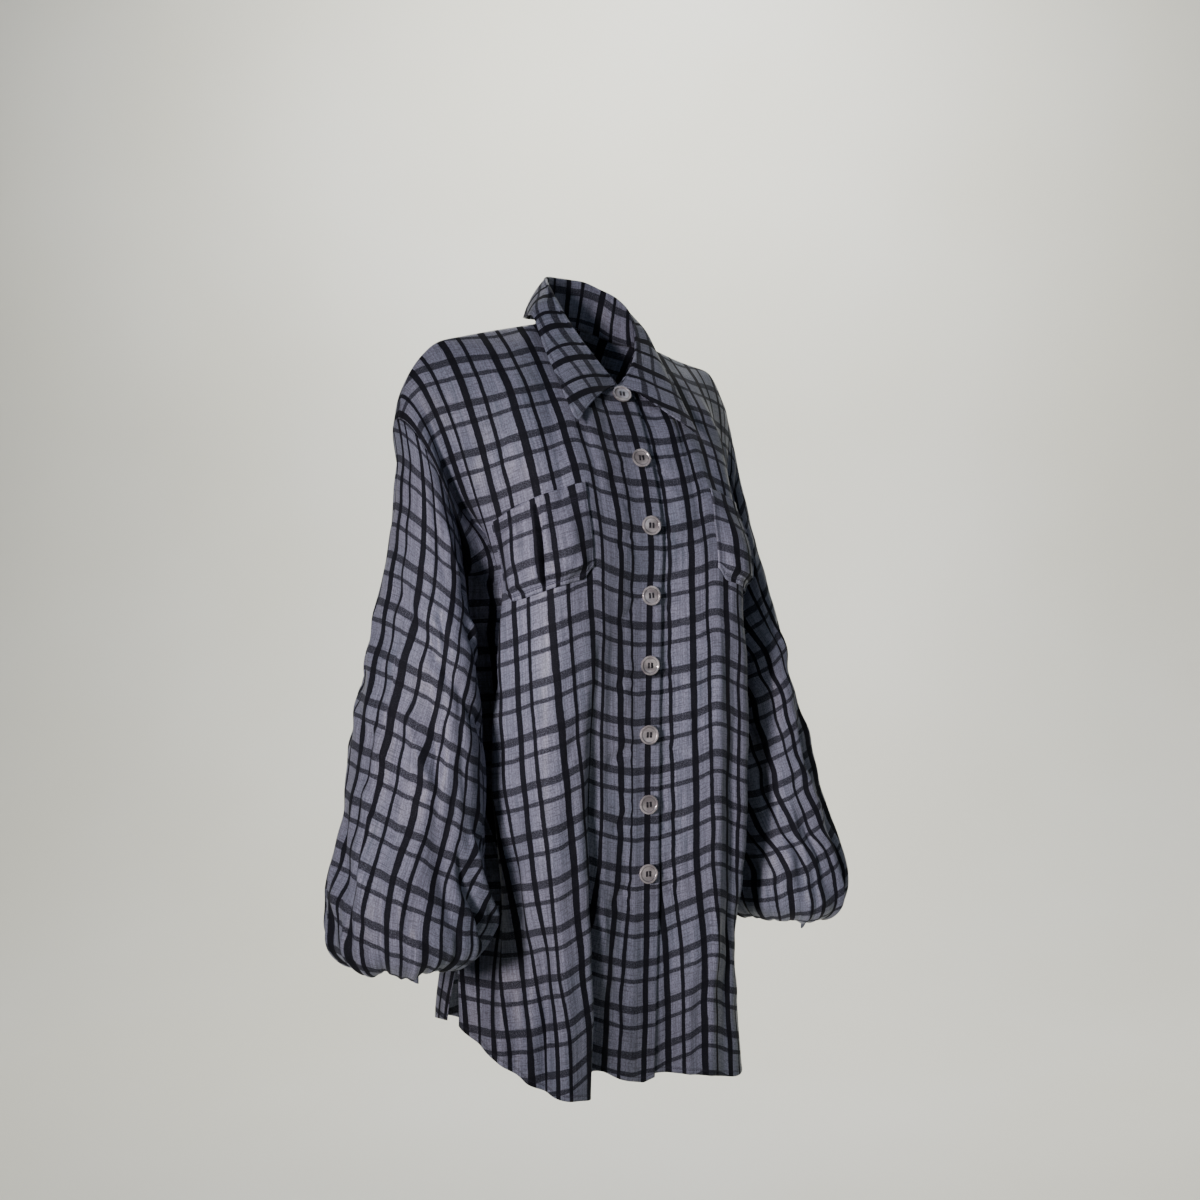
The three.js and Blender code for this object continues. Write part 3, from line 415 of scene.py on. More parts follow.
# how far the warp has run off line towards the ridge, beside it and round towards the side
WARP_DRIFT = table(
    "y shelf near far left", (-260, 0, 0, 0, -5), (-60, 0, 0, 0, -6), (28, 1, 3, 3, -7.5),
    (171, 8, 15, 13, -11.5), (248, 12, 23, 22, -14), (325, 7, 28, 35, -16), (402, -3, 31, 44, -26),
    (479, -9, 35, 52, -33), (570, -13, 39, 60, -37))


def panel(face, x, rows, folds, side, seed):
    """One panel of the body: its points, normals and flat places. side is -1 for the wearer's
    right; x is the distance from the centre line across the chest."""
    u = np.sign(x) * np.minimum(np.abs(x) / CHEST_WIDTH, 1 - HALF_GAP / CHEST_WIDTH)
    points = body_surface(face, u, rows)
    if rows[0] == 0:
        points[0, np.abs(u) >= NECK_U, 1] += face["sign"] * HALF_GAP
    run = lengths(np.swapaxes(points, 0, 1)).T
    y = run - run[np.argmin(np.abs(rows - 1))]
    normals = face_normals(points)
    normals *= np.sign((normals[..., 1] * face["sign"]).mean())
    across = np.broadcast_to(x, y.shape)
    calm = smooth(1, 0.94, np.abs(u))[None, :] * smooth(0, 0.12, rows)[:, None]
    height = (creases(across, y, folds) + ripple(across, y, seed, 60, 0.6)) * calm
    if face["sign"] < 0:
        height = height * smooth(14, 30, np.abs(across))
        if side < 0:
            lap_edge = 1.1 + 0.6 * np.sin(y / 31) * np.sin(y / 83)
            height = height + lap_edge * smooth(8, -10, across) * calm
        else:
            height = height - LAP_DROP * smooth(LAP_EASE, LAP + 4, across)
    points = points + normals * height[..., None]
    if face["sign"] < 0:
        low = smooth(150, 400, y)
        high_sag, low_sag = (read(WEFT_SAG, "x", name, np.abs(x)) for name in ("sag", "low"))
        sag = high_sag * (1 - low) + low_sag * low + read(WEFT_DROP, "y", "drop", y)
    else:
        sag = -20 * (np.abs(x) / CHEST_WIDTH) ** 2
    level = sag - read(face["chest"], "u", "z", np.abs(u))
    lean = np.zeros_like(y)
    if face["sign"] < 0:
        # below the pocket the warp runs off line: into the long crease on the right front
        names = ("shelf", "near", "far", "left")
        shelf, near, far, left = (read(WARP_DRIFT, "y", name, y) for name in names)
        if side < 0:
            lean = shelf * smooth(10, 34, across)
            lean = lean + (near - lean) * smooth(74, 86, across)
            lean = lean + (far - lean) * smooth(125, 168, across)
        else:
            lean = left
    flat = np.stack([(across + lean) * side, y + level], -1)
    if face["sign"] < 0 and side < 0:
        points[..., 0] *= -1
        normals[..., 0] *= -1
    else:
        points = settle(points)
    hem = np.stack([run[-1] - run, across], -1)
    return points, normals, flat, hem


ROWS = np.concatenate([np.linspace(0, 1, 76)[:-1], np.linspace(1, 2, 170)])
FRONT_X = np.linspace(-LAP, CHEST_WIDTH, 100)
BACK_X = np.linspace(-CHEST_WIDTH, CHEST_WIDTH, 165)
cut = {
    "front_right": panel(RIGHT_FRONT, FRONT_X, ROWS, RIGHT_FOLDS, -1, 1),
    "front_left": panel(LEFT_FRONT, FRONT_X, ROWS, LEFT_FOLDS, 1, 2),
    "back": panel(BACK, BACK_X, ROWS, BACK_FOLDS, 1, 4),
}
print("panels:", {name: points.shape[:2] for name, (points, *_) in cut.items()})

# %% [markdown]
# ## Sleeves
# A bishop sleeve starts in the dropped armhole, widens all the way down, and is gathered into a
# narrow cuff, so that its foot blouses over and hides the cuff. `SLEEVE` holds one row for each
# ring; angle 0 is the outer side, 90 degrees the front and 180 the side next to the body.

# %% Sleeves
SLEEVE = table(
    "k x y z wide deep tilt lean", (0, 195.5, 36, -200, 32.5, 43, 82, 6),
    (1, 197, 28, -228, 30, 45, 74, 4), (2, 200, 23, -268, 33, 55, 56, 1),
    (3, 206, 20, -318, 39, 72, 32, 0), (4, 213, 16, -374, 47, 87, 14, 0),
    (5, 220, 12, -434, 54, 93, 4, 0), (6, 228, 6, -498, 62, 94, 0, 0), (7, 241, -4, -556, 69, 90, 0, 0),
    (8, 250, -16, -604, 76, 95, 0, 0), (9, 252, -21, -640, 79, 100, 0, 0),
    (10, 253, -23, -662, 76, 97, 0, 0), (11, 255, -25, -676, 65, 82, 0, 0),
    (12, 256, -26, -682, 53, 64, 0, 0), (13, 256, -26, -678, 47, 52, 0, 0),
    (14, 256, -26, -665, 44, 45, 0, 0), (15, 256, -26, -653, 37.5, 37.5, 0, 0))
WIDEST_RING = 9
RING_STEP = 3.6  # most that two rings of the finished grid lie apart
SLEEVE_SWING = {-1: 0, 1: -12}
DEGREE = 1.5  # a fold's x on a sleeve is its angle in degrees times this
# Long folds of the sleeves; y is the depth below the shoulder seam's inner end.
SLEEVE_FOLDS = {
    -1: [
        (27, 330, 24, 640, 2, 5, -6), (38, 330, 35, 640, 2, 8, 6), (8, 400, 6, 640, 2, 11, -4),
        (66, 300, 112, 520, 4, 15, -6), (90, 420, 140, 640, 4, 14, -6), (60, 470, 84, 650, 0, 13, 4),
        (30, 585, 42, 640, 0, 5, -4), (12, 600, 22, 668, 0, 6, 4), (-22, 560, -8, 668, 0, 8, -4),
        (150, 560, 214, 676, 8, 9, -11), (168, 540, 232, 662, 8, 8, 8),
        (108, 440, 100, 660, 6, 20, 3.5), (128, 470, 134, 640, 0, 11, -3.5),
        (130, 240, 186, 330, 6, 9, -4), (112, 232, 156, 300, 5, 8, 3), (84, 190, 110, 300, 6, 10, -2.5),
        (14, 230, 8, 420, 4, 16, -3)],
    1: [
        (62, 460, 38, 668, 6, 11, -6.5), (88, 440, 66, 674, 6, 10, 6.5), (104, 500, 92, 672, 4, 9, -6),
        (122, 430, 118, 650, 3, 13, 4.5), (24, 540, 32, 672, 0, 9, -5), (146, 560, 132, 676, 0, 10, -6),
        (130, 240, 186, 330, 6, 9, -4), (100, 222, 140, 310, 5, 9, 3), (168, 540, 200, 662, 8, 9, 5)],
}
SIDE_AND_BACK_FOLDS = [
    (-60, 360, -66, 664, 4, 20, -7), (-98, 340, -102, 668, -4, 18, 6),
    (-150, 400, -158, 668, 3, 16, -6), (-200, 440, -206, 660, 0, 14, 5),
    (-235, 480, -238, 664, 0, 12, -5), (246, 440, 250, 660, 0, 12, 4),
    (-120, 230, -176, 330, 6, 10, -4), (-40, 160, -96, 280, 5, 12, 3)]


def gathers(seed, count=34):
    """The short folds that run out of the cuff seam, each with its own length and depth."""
    rng = np.random.default_rng(seed)
    step = 540 / count
    return [(x, 672 - rng.uniform(25, 130), x + rng.uniform(-9, 9), 705, 0, rng.uniform(4, 6.5),
             rng.choice([-1, 1]) * rng.uniform(2.2, 5.2))
            for x in -270 + step * (np.arange(count) + rng.uniform(-0.3, 0.3, count))]


def sleeve_rings(k, angle, swing):
    """Rings of the bare sleeve, before its folds."""
    at = {name: read(SLEEVE, "k", name, k)[:, None] for name in SLEEVE}
    cos, sin = np.cos(angle)[None, :], np.sin(angle)[None, :]
    z = at["z"] + at["tilt"] * cos
    return np.stack([at["x"] + at["wide"] * cos, at["y"] + at["lean"] * cos - at["deep"] * sin,
                     z + swing * smooth(-260, -660, at["z"])], -1)


def sleeve(side, swing, seed):
    angle = np.linspace(-math.pi, math.pi, 181)
    coarse = sleeve_rings(np.arange(16.0), angle, swing)
    spans = np.linalg.norm(np.diff(coarse, axis=0), axis=-1).max(1)
    counts = np.ceil(spans / RING_STEP).astype(int)
    k = np.concatenate([i + np.arange(n) / n for i, n in enumerate(counts)] + [[15]])
    k[0] = 0.016
    points = sleeve_rings(k, angle, swing)
    normals = face_normals(points, ring=True)
    middle = points.mean(1, keepdims=True)
    normals *= np.sign((normals * (points - middle)).sum(-1)[:40].mean())
    degrees = np.broadcast_to(np.degrees(angle) * DEGREE, points.shape[:2])
    lowest = np.argmax(read(SLEEVE, "k", "z", k) * -1)
    depth = -points[..., 2] + np.maximum(np.arange(len(k)) - lowest, 0)[:, None] * 3.0
    folds = (SLEEVE_FOLDS[side] + SIDE_AND_BACK_FOLDS + gathers(seed)
             + scatter(seed, 34, (-230, 260, 220, 600), 84 + 22 * side, 26, 120, 12, 6.5))
    seam = smooth(270, 235, np.abs(degrees))
    height = creases(degrees, depth, folds) + ripple(degrees, depth, seed, 55, 0.5) * seam
    for turn in (-540, 540):
        height += creases(degrees + turn, depth, folds)
    height += 0.5 * np.cos(depth * math.tau / 47) * (1 + 0.5 * np.cos(degrees / 23))
    height *= smooth(0, 1.2, k)[:, None] * smooth(15, 13.4, k)[:, None]
    points = points + normals * height[..., None]
    run = lengths(np.swapaxes(points, 0, 1)).T
    around = lengths(points)[:, -1] / math.tau
    around[k > WIDEST_RING] = around[np.argmin(np.abs(k - WIDEST_RING))]
    # the arm hangs forward, so the grain twists and the weft falls towards the body
    twist, fall, head = 0.03, 40, 82
    level = fall * np.cos(angle + math.radians(30)) - head * np.cos(angle)
    flat = np.stack([angle[None, :] * around[:, None] + twist * run, run + level[None, :]], -1)
    hem = np.stack([run + 0 * degrees, degrees * 1.2], -1)
    if side < 0:
        points[..., 0] *= -1
        normals[..., 0] *= -1
    else:
        points = settle(points)
    return points, normals, flat, hem


for name, side in (("right", -1), ("left", 1)):
    cut["sleeve_" + name] = sleeve(side, SLEEVE_SWING[side], 20 + side)
print("sleeves:", cut["sleeve_right"][0].shape[:2])

# %% [markdown]
# ## Cuffs, collar and pockets
# The cuff is a strip that goes once round the wrist and laps over its own start; only the end
# of the lap hangs out below the sleeve. The collar is one folded strip, stand inside and fall
# outside. A pocket is cut from the same check, lies on its front, and has an inverted pleat, a
# turned top hem and a foot that bags a little.

# %% Cuffs
WRIST = (256, -26, -650)
CUFF_RADIUS, CUFF_DEPTH, CUFF_END = 37.2, 34, 84
CUFF_TURN = 390  # degrees once round the wrist and 30 more over its own start


def cuff(side, swing):
    x, y, top = WRIST
    turned = np.linspace(0, CUFF_TURN, 150)[None, :]
    down = np.linspace(0, 1, 16)[:, None]
    angle = np.radians(CUFF_END - CUFF_TURN + turned)
    radius = CUFF_RADIUS - 2.3 * smooth(48, 30, turned)
    droop = 13 * smooth(CUFF_TURN - 32, CUFF_TURN, turned)
    z = top + swing - CUFF_DEPTH * down - droop * down
    out = np.stack([np.cos(angle), -np.sin(angle), 0 * angle], -1) + 0 * down[..., None]
    points = np.stack([x + 0 * z, y + 0 * z, z], -1) + radius[..., None] * out
    if side < 0:
        points[..., 0] *= -1
        out[..., 0] *= -1
    run = turned * 0.65 + 0 * z
    flat = np.stack([run, CUFF_DEPTH * down + 0 * z], -1)
    hem = np.stack([CUFF_DEPTH * (1 - down) + 0 * z, run], -1)
    return points, out, flat, hem


for name, side in (("right", -1), ("left", 1)):
    cut["cuff_" + name] = cuff(side, SLEEVE_SWING[side])

# %% Collar
COLLAR = table(
    "t foldX foldY foldZ edgeX edgeY edgeZ belly", (0, 2, -45, -72, 82, -86, -124, 6),
    (0.13, 16, -43, -58, 83, -70, -102, 6), (0.28, 32, -34, -35, 84, -50, -73, 5),
    (0.42, 45, -19, -8, 83, -24, -40, 5), (0.56, 53, 0, 22, 80, 4, 0, 5),
    (0.7, 50, 20, 43, 73, 31, 6, 4), (0.84, 37, 42, 56, 53, 63, 10, 4), (1, 0, 56, 60, 0, 82, 15, 4))
COLLAR_ROLL = 2.6
SHOULDER_T = 10 / 18


def collar():
    signed = np.linspace(-1, 1, 221)
    t, left = 1 - np.abs(signed), signed > 0
    across = np.linspace(0, NECK_U, 30)
    front, back = top_edge(FRONT, across), top_edge(BACK, across)[::-1]
    seam = np.empty((len(t), 3))
    for mask, place in ((left, settle), (~left, lambda p: p)):
        near = along(place(front), np.clip(t[mask] / SHOULDER_T, 0, 1))
        far = along(place(back), np.clip((t[mask] - SHOULDER_T) / (1 - SHOULDER_T), 0, 1))
        seam[mask] = np.where((t[mask] <= SHOULDER_T)[:, None], near, far)
    seam[:, 0] = np.maximum(seam[:, 0], 1.8 * smooth(1, 0.9, t))
    seam[:, 2] += 0.3 - 2.6 * smooth(0.45, 0.62, t)
    fold = np.stack([read(COLLAR, "t", "fold" + k, t) for k in "XYZ"], -1)
    edge = np.stack([read(COLLAR, "t", "edge" + k, t) for k in "XYZ"], -1)
    belly = read(COLLAR, "t", "belly", t)
    out = unit((edge - fold) * np.array([1, 1, 0]))
    centre = fold - np.array([0, 0, COLLAR_ROLL])
    up = np.array([0, 0, 1])
    bulge = out * (belly * 0.5)[:, None] + up * (belly * 0.8)[:, None]
    lines = []
    for f in np.linspace(0, 1, 12)[:-1]:
        stand = seam * (1 - f) + (centre - out * COLLAR_ROLL) * f
        lines.append(stand - out * 1.5 * math.sin(math.pi * f))
    for phi in np.linspace(0, math.pi, 9)[:-1]:
        lines.append(centre + COLLAR_ROLL * (up * math.sin(phi) - out * math.cos(phi)))
    for f in np.linspace(0, 1, 34):
        lines.append((centre + out * COLLAR_ROLL) * (1 - f) + edge * f + bulge * 4 * f * (1 - f))
    points = np.array(lines)
    sides = np.sign(signed)
    sides[sides == 0] = -1
    points[1:, left] = settle(points[1:, left])
    points[..., 0] *= np.where(left, 1, -1)
    normals = face_normals(points)
    normals *= np.sign(normals[-12:, 60:160, 2].mean())
    run = lengths(np.swapaxes(points, 0, 1)).T
    middle = points.shape[1] // 2
    fold_run = lengths(points[14])
    fold_run = fold_run - fold_run[middle]
    lean = np.clip((np.arange(len(points)) - 14) / 38, 0, 1)[:, None]
    edge_run = lengths(points[-1])
    edge_run = edge_run - edge_run[middle]
    along_collar = (fold_run[None, :] * (1 - lean) + edge_run[None, :] * lean * 0.55
                    + fold_run[None, :] * lean * 0.45)
    calm = smooth(0, 8, np.arange(len(points)))[:, None] * np.ones_like(run)
    points = points + normals * (ripple(along_collar, run, 31, 48, 0.45) * calm)[..., None]
    flat = np.stack([along_collar, run + 9], -1)
    to_edge = np.minimum(run[-1] - run, (1 - np.abs(signed)) * 300 + 0 * run)
    hem = np.stack([to_edge, along_collar], -1)
    return points, normals, flat, hem


cut["collar"] = collar()
print("collar edge:", round(lengths(cut["collar"][0][-1])[-1]), "mm")

# %% Pockets
POCKET = dict(inner=84, outer=191, top=0.7, foot=1.012)
POCKET_DEPTH = 104
POCKET_FOLDS = [
    (-30, 55, -26, 112, 0, 6, -1.6), (26, 60, 20, 112, 0, 6, -1.8), (-44, 70, -10, 100, 5, 5, 1.4),
    (44, 66, 12, 102, -5, 5, 1.6)]


def pocket(face, folds, side, seed):
    middle, half = (POCKET["inner"] + POCKET["outer"]) / 2, (POCKET["outer"] - POCKET["inner"]) / 2
    spaced = np.linspace(-1, 1, 121)
    x = middle + half * (0.35 * spaced + 0.65 * spaced**3)
    rows = np.linspace(POCKET["top"], POCKET["foot"], 64)
    points, normals, flat, _ = panel(face, x, rows, folds, side, seed)
    down = np.linspace(0, 1, len(rows))[:, None]
    off = (x - middle)[None, :]
    inward = 1 - np.abs(off) / half
    bag = smooth(0, 0.5, inward) * smooth(0.05, 0.65, down) * smooth(1, 0.86, down)
    split = off + 1.2 * np.sin(4 * down)
    slot = np.exp(-(split / (1.8 - 0.7 * smooth(0.2, 0.5, down)))**2) * smooth(0.05, 0.12, down)
    # one lip of the pleat stands over the other
    lips = (1.5 * np.exp(-((split - 2.6) / 2.4)**2) + 0.4 * np.exp(-((split + 4.6) / 2.6)**2))
    lips = lips * smooth(0.02, 0.16, down) * smooth(1.2, 0.3, down)
    top_hem = smooth(0.17, 0.15, down) * 0.7
    folds_low = creases(off + 0 * down, 100 * down + 0 * off, POCKET_FOLDS)
    lift = (2.2 + 9 * bag + top_hem + 3.6 * lips - 11.0 * slot * smooth(1.02, 0.9, down)
            + folds_low * smooth(0, 0.3, inward))
    height = np.maximum(lift, 1.1)
    points = points + normals * height[..., None]
    corner = smooth(0.82, 1, down) * smooth(0.72, 1, np.abs(off) / half)
    raise_by = 11 * corner
    along_down = np.gradient(points, axis=0)
    points = points - unit(along_down) * raise_by[..., None]
    # the pleat swallows most of one wide warp stripe
    flat = flat + np.array([-7 * side, 21])
    flat[..., 0] += 3.1 * side * np.tanh(split / 0.9)
    # stitched all round, and again along the turned top hem
    edge = np.minimum((1 - down) * POCKET_DEPTH + 0 * off, (half - np.abs(off)) + 0 * down)
    top_stitch = np.abs(down * POCKET_DEPTH - 16.5) + 1.7 + 0 * off
    edge = np.where(down < 0.3, np.minimum(edge, top_stitch), edge)
    hem = np.stack([edge + 2.2, off + 0 * down + POCKET_DEPTH * down], -1)
    return points, normals, flat, hem


cut["pocket_right"] = pocket(RIGHT_FRONT, RIGHT_FOLDS, -1, 1)
cut["pocket_left"] = pocket(LEFT_FRONT, LEFT_FOLDS, 1, 2)
print("pockets:", cut["pocket_right"][0].shape[:2])

# %% [markdown]
# ## Finishes
# The cloth is a silk with a slubby weft: a grey-lavender ground, near-black warp stripes in
# pairs of one wide and one narrow, and softer charcoal weft stripes in the same rhythm. All
# sizes in the material are millimetres of cloth. Colours are given as the eye sees them and
# turned into linear light by one function.

# %% Material tools
def colour(code):
    parts = [int(code[i:i + 2], 16) / 255 for i in (1, 3, 5)]
    return [c / 12.92 if c <= 0.04045 else ((c + 0.055) / 1.055) ** 2.4 for c in parts] + [1.0]


def new_material(name):
    material = bpy.data.materials.new(name)
    material.use_nodes = True
    material.node_tree.nodes.clear()
    return material, material.node_tree


def add(tree, kind, settings=None, **inputs):
    """Adds a node with its settings; each input is a value, or the output socket it is fed by."""
    node = tree.nodes.new("ShaderNode" + kind)
    for key, value in (settings or {}).items():
        setattr(node, key, value)
    for key, value in inputs.items():
        socket = node.inputs[int(key[1:])] if key[1:].isdigit() else node.inputs[key.replace("_", " ")]
        if isinstance(value, bpy.types.NodeSocket):
            tree.links.new(value, socket)
        else:
            socket.default_value = value
    return node


def calc(tree, operation, *values):
    inputs = {f"i{n}": value for n, value in enumerate(values)}
    return add(tree, "Math", {"operation": operation}, **inputs).outputs[0]


def step(tree, value, start, end, low=0.0, high=1.0):
    return add(tree, "MapRange", {"interpolation_type": "SMOOTHSTEP"}, i0=value, i1=start, i2=end,
               i3=low, i4=high).outputs[0]


def mix(tree, factor, a, b):
    return add(tree, "Mix", {"data_type": "RGBA"}, i0=factor, i6=a, i7=b).outputs[2]


def noise(tree, vector, scale, detail=2.0, rough=0.5):
    return add(tree, "TexNoise", Vector=vector, Scale=scale, Detail=detail, Roughness=rough).outputs[0]


def grain(tree, x, y, wide, tall, *roughness):
    """Noise whose grain is wide by tall millimetres."""
    across, down = calc(tree, "DIVIDE", x, wide), calc(tree, "DIVIDE", y, tall)
    return noise(tree, add(tree, "CombineXYZ", i0=across, i1=down).outputs[0], 1.0, *roughness)


def stripe_pair(tree, run, period, *stripes):
    """1 inside the wide and the narrow stripe of a period; each is its centre, half and softness."""
    masks = []
    for centre, half, soft in stripes:
        off = calc(tree, "WRAP", calc(tree, "SUBTRACT", run, centre), period / 2, -period / 2)
        masks.append(step(tree, calc(tree, "ABSOLUTE", off), half - soft, half + soft, 1.0, 0.0))
    return calc(tree, "MAXIMUM", *masks)


def finish(tree, base, bump, **settings):
    """Ends a material with its colour, its relief and plain settings."""
    surface = add(tree, "BsdfPrincipled", Base_Color=base, Normal=bump.outputs[0], **settings)
    add(tree, "OutputMaterial", Surface=surface.outputs[0])


# %% Checked silk
WARP_PERIOD, WEFT_PERIOD = 45.0, 52.0


def checked_silk():
    material, tree = new_material("Checked slub silk")
    cut_uv = add(tree, "UVMap", {"uv_map": "Cut"}).outputs[0]
    place = add(tree, "SeparateXYZ", i0=cut_uv)
    x, y = place.outputs[0], place.outputs[1]
    hem_uv = add(tree, "SeparateXYZ", i0=add(tree, "UVMap", {"uv_map": "Hem"}).outputs[0])
    # the yarns wander, so no stripe is ruler-straight
    drift = grain(tree, x, y, 60, 45)
    shiver = grain(tree, x, y, 9, 5)
    slow = calc(tree, "MULTIPLY", calc(tree, "SUBTRACT", drift, 0.5), 4.0)
    quick = calc(tree, "MULTIPLY", calc(tree, "SUBTRACT", shiver, 0.5), 1.5)
    wander = calc(tree, "ADD", slow, quick)
    warp_run = calc(tree, "ADD", x, calc(tree, "MULTIPLY", wander, 0.6))
    weft_run = calc(tree, "ADD", y, wander)
    # long streaks of slightly lighter and darker warp, and slubs along the weft
    streak = grain(tree, x, y, 2.2, 90, 4.0, 0.7)
    slub = grain(tree, x, y, 16, 1.1, 3.0, 0.65)
    thread = grain(tree, x, y, 0.9, 3.0, 2.0, 0.6)
    cloud = grain(tree, x, y, 160, 140)
    ground = mix(tree, step(tree, cloud, 0.35, 0.65), colour("#6e717e"), colour("#687381"))
    for spots, start, end, amount, shade in (
            (streak, 0.3, 0.7, 1.0, "#979bae"), (slub, 0.48, 0.68, 0.7, "#444650"),
            (thread, 0.4, 0.65, 0.55, "#4b4c59")):
        ground = mix(tree, step(tree, spots, start, end, 0.0, amount), ground, colour(shade))
    # charcoal weft stripes, their yarn thick and thin so that the ground sparkles through
    weft = stripe_pair(tree, weft_run, WEFT_PERIOD, (0.0, 4.3, 0.6), (20.0, 2.5, 0.5))
    speckle = grain(tree, x, y, 1.6, 0.8, 2.0, 0.7)
    weft = calc(tree, "MULTIPLY", weft, step(tree, speckle, 0.3, 0.6, 0.55, 0.98))
    cloth = mix(tree, weft, ground, colour("#23252d"))
    # near-black warp stripes
    warp = stripe_pair(tree, warp_run, WARP_PERIOD, (0.0, 3.9, 0.4), (18.5, 2.2, 0.4))
    warp = calc(tree, "MULTIPLY", warp, step(tree, speckle, 0.2, 0.5, 0.86, 0.99))
    cloth = mix(tree, warp, cloth, colour("#0b0d16"))
    # the turned hem: a shadow line where it ends and a row of stitches just inside it
    edge, run = hem_uv.outputs[0], hem_uv.outputs[1]
    from_stitch, from_fold = (calc(tree, "ABSOLUTE", calc(tree, "SUBTRACT", edge, at)) for at in (5.0, 6.4))
    stitch_line = step(tree, from_stitch, 0.25, 0.55, 1.0, 0.0)
    dash = step(tree, calc(tree, "ABSOLUTE", calc(tree, "WRAP", run, 1.3, -1.3)), 0.85, 1.1, 1.0, 0.0)
    stitches = calc(tree, "MULTIPLY", stitch_line, dash)
    fold_line = step(tree, from_fold, 0.2, 0.9, 1.0, 0.0)
    cloth = mix(tree, calc(tree, "MULTIPLY", fold_line, 0.4), cloth, colour("#23232d"))
    cloth = mix(tree, calc(tree, "MULTIPLY", stitches, 0.8), cloth, colour("#2b2b38"))
    # relief: slubs, threads, and the stitches pulled in
    relief = calc(tree, "ADD", calc(tree, "MULTIPLY", slub, 0.10), calc(tree, "MULTIPLY", thread, 0.06))
    relief = calc(tree, "SUBTRACT", relief, calc(tree, "MULTIPLY", stitch_line, 0.12))
    bump = add(tree, "Bump", Strength=0.8, Distance=0.001, Height=relief)
    dull = step(tree, calc(tree, "MAXIMUM", warp, weft), 0.0, 1.0, 0.46, 0.85)
    finish(tree, cloth, bump, Roughness=dull, Specular_IOR_Level=0.25,
           Sheen_Weight=0.08, Sheen_Roughness=0.35, Sheen_Tint=colour("#c4c8dc"))
    return material


silk = checked_silk()

# %% Shell and thread
def smoky_shell(name, dark, light, rough):
    """Grey mother-of-pearl: fine growth bands with a faint pink play."""
    material, tree = new_material(name)
    place = add(tree, "TexCoord").outputs["Object"]
    bent = add(tree, "VectorMath", {"operation": "MULTIPLY"}, i0=place, i1=(420, 420, 900)).outputs[0]
    bands = noise(tree, bent, 0.12, 3.0, 0.5)
    haze = noise(tree, place, 140.0, 2.0)
    shell = mix(tree, step(tree, bands, 0.35, 0.65), colour(dark), colour(light))
    shell = mix(tree, step(tree, haze, 0.4, 0.7, 0.0, 0.35), shell, colour("#85797e"))
    bump = add(tree, "Bump", Strength=0.15, Distance=0.0004, Height=bands)
    finish(tree, shell, bump, Roughness=rough, Metallic=0.35, Coat_Weight=0.5, Coat_Roughness=0.08)
    return material


def button_thread():
    """Dark waxed thread with its twist showing."""
    material, tree = new_material("Dark sewing thread")
    place = add(tree, "TexCoord").outputs["Object"]
    twist = add(tree, "TexWave", Vector=place, Scale=900.0, Distortion=2.0).outputs[1]
    shade = mix(tree, twist, colour("#08080c"), colour("#17171f"))
    bump = add(tree, "Bump", Strength=0.4, Distance=0.0002, Height=twist)
    finish(tree, shade, bump, Roughness=0.6)
    return material


# the rim's shell, and a copy of it for the dish that is rougher and, as painted shade, far darker
shell = smoky_shell("Smoky mother-of-pearl", "#8b8a89", "#c2c0bd", 0.2)
shaded_brushed_shell = smoky_shell("Shaded brushed mother-of-pearl", "#2e2e31", "#6a696c", 0.36)
thread = button_thread()
print("materials:", silk.name, "/", shell.name, "/", thread.name)

# %% [markdown]
# ## Sewing it together
# Every cut piece becomes a closed sheet 0.9 mm thick, a little more at the collar and cuffs,
# which are two layers. Each one stands for its solid in the frame.

# %% Cloth pieces
THICK = dict(collar=1.5, cuff_right=1.3, cuff_left=1.3)
for node, (points, normals, flat, hem) in cut.items():
    thick = THICK.get(node, SILK_WALL)
    piece = build_cloth(node + "_silk", points, normals, flat, hem, thick, "sleeve" in node)
    finish_cloth(piece, node, silk)

# %% [markdown]
# ## Buttons
# A shell button is turned on a lathe: a disc with a raised rim and a dished middle, drilled
# with four holes. It is sewn on through two upright pairs of holes.

# %% Buttons
def cylinder(name, **settings):
    bpy.ops.object.select_all(action="DESELECT")
    bpy.ops.mesh.primitive_cylinder_add(**settings)
    piece = bpy.context.object
    piece.name = name
    return piece


def apply_modifier(piece, kind, **settings):
    modifier = piece.modifiers.new(kind.title(), kind)
    for key, value in settings.items():
        setattr(modifier, key, value)
    bpy.context.view_layer.objects.active = piece
    bpy.ops.object.modifier_apply(modifier=modifier.name)


def top_face_only():
    bpy.ops.mesh.select_mode(type="FACE")
    bpy.ops.mesh.select_all(action="DESELECT")
    bpy.ops.object.mode_set(mode="OBJECT")
    faces = bpy.context.object.data.polygons
    max(faces, key=lambda f: f.center.z * f.normal.z).select = True
    bpy.ops.object.mode_set(mode="EDIT")


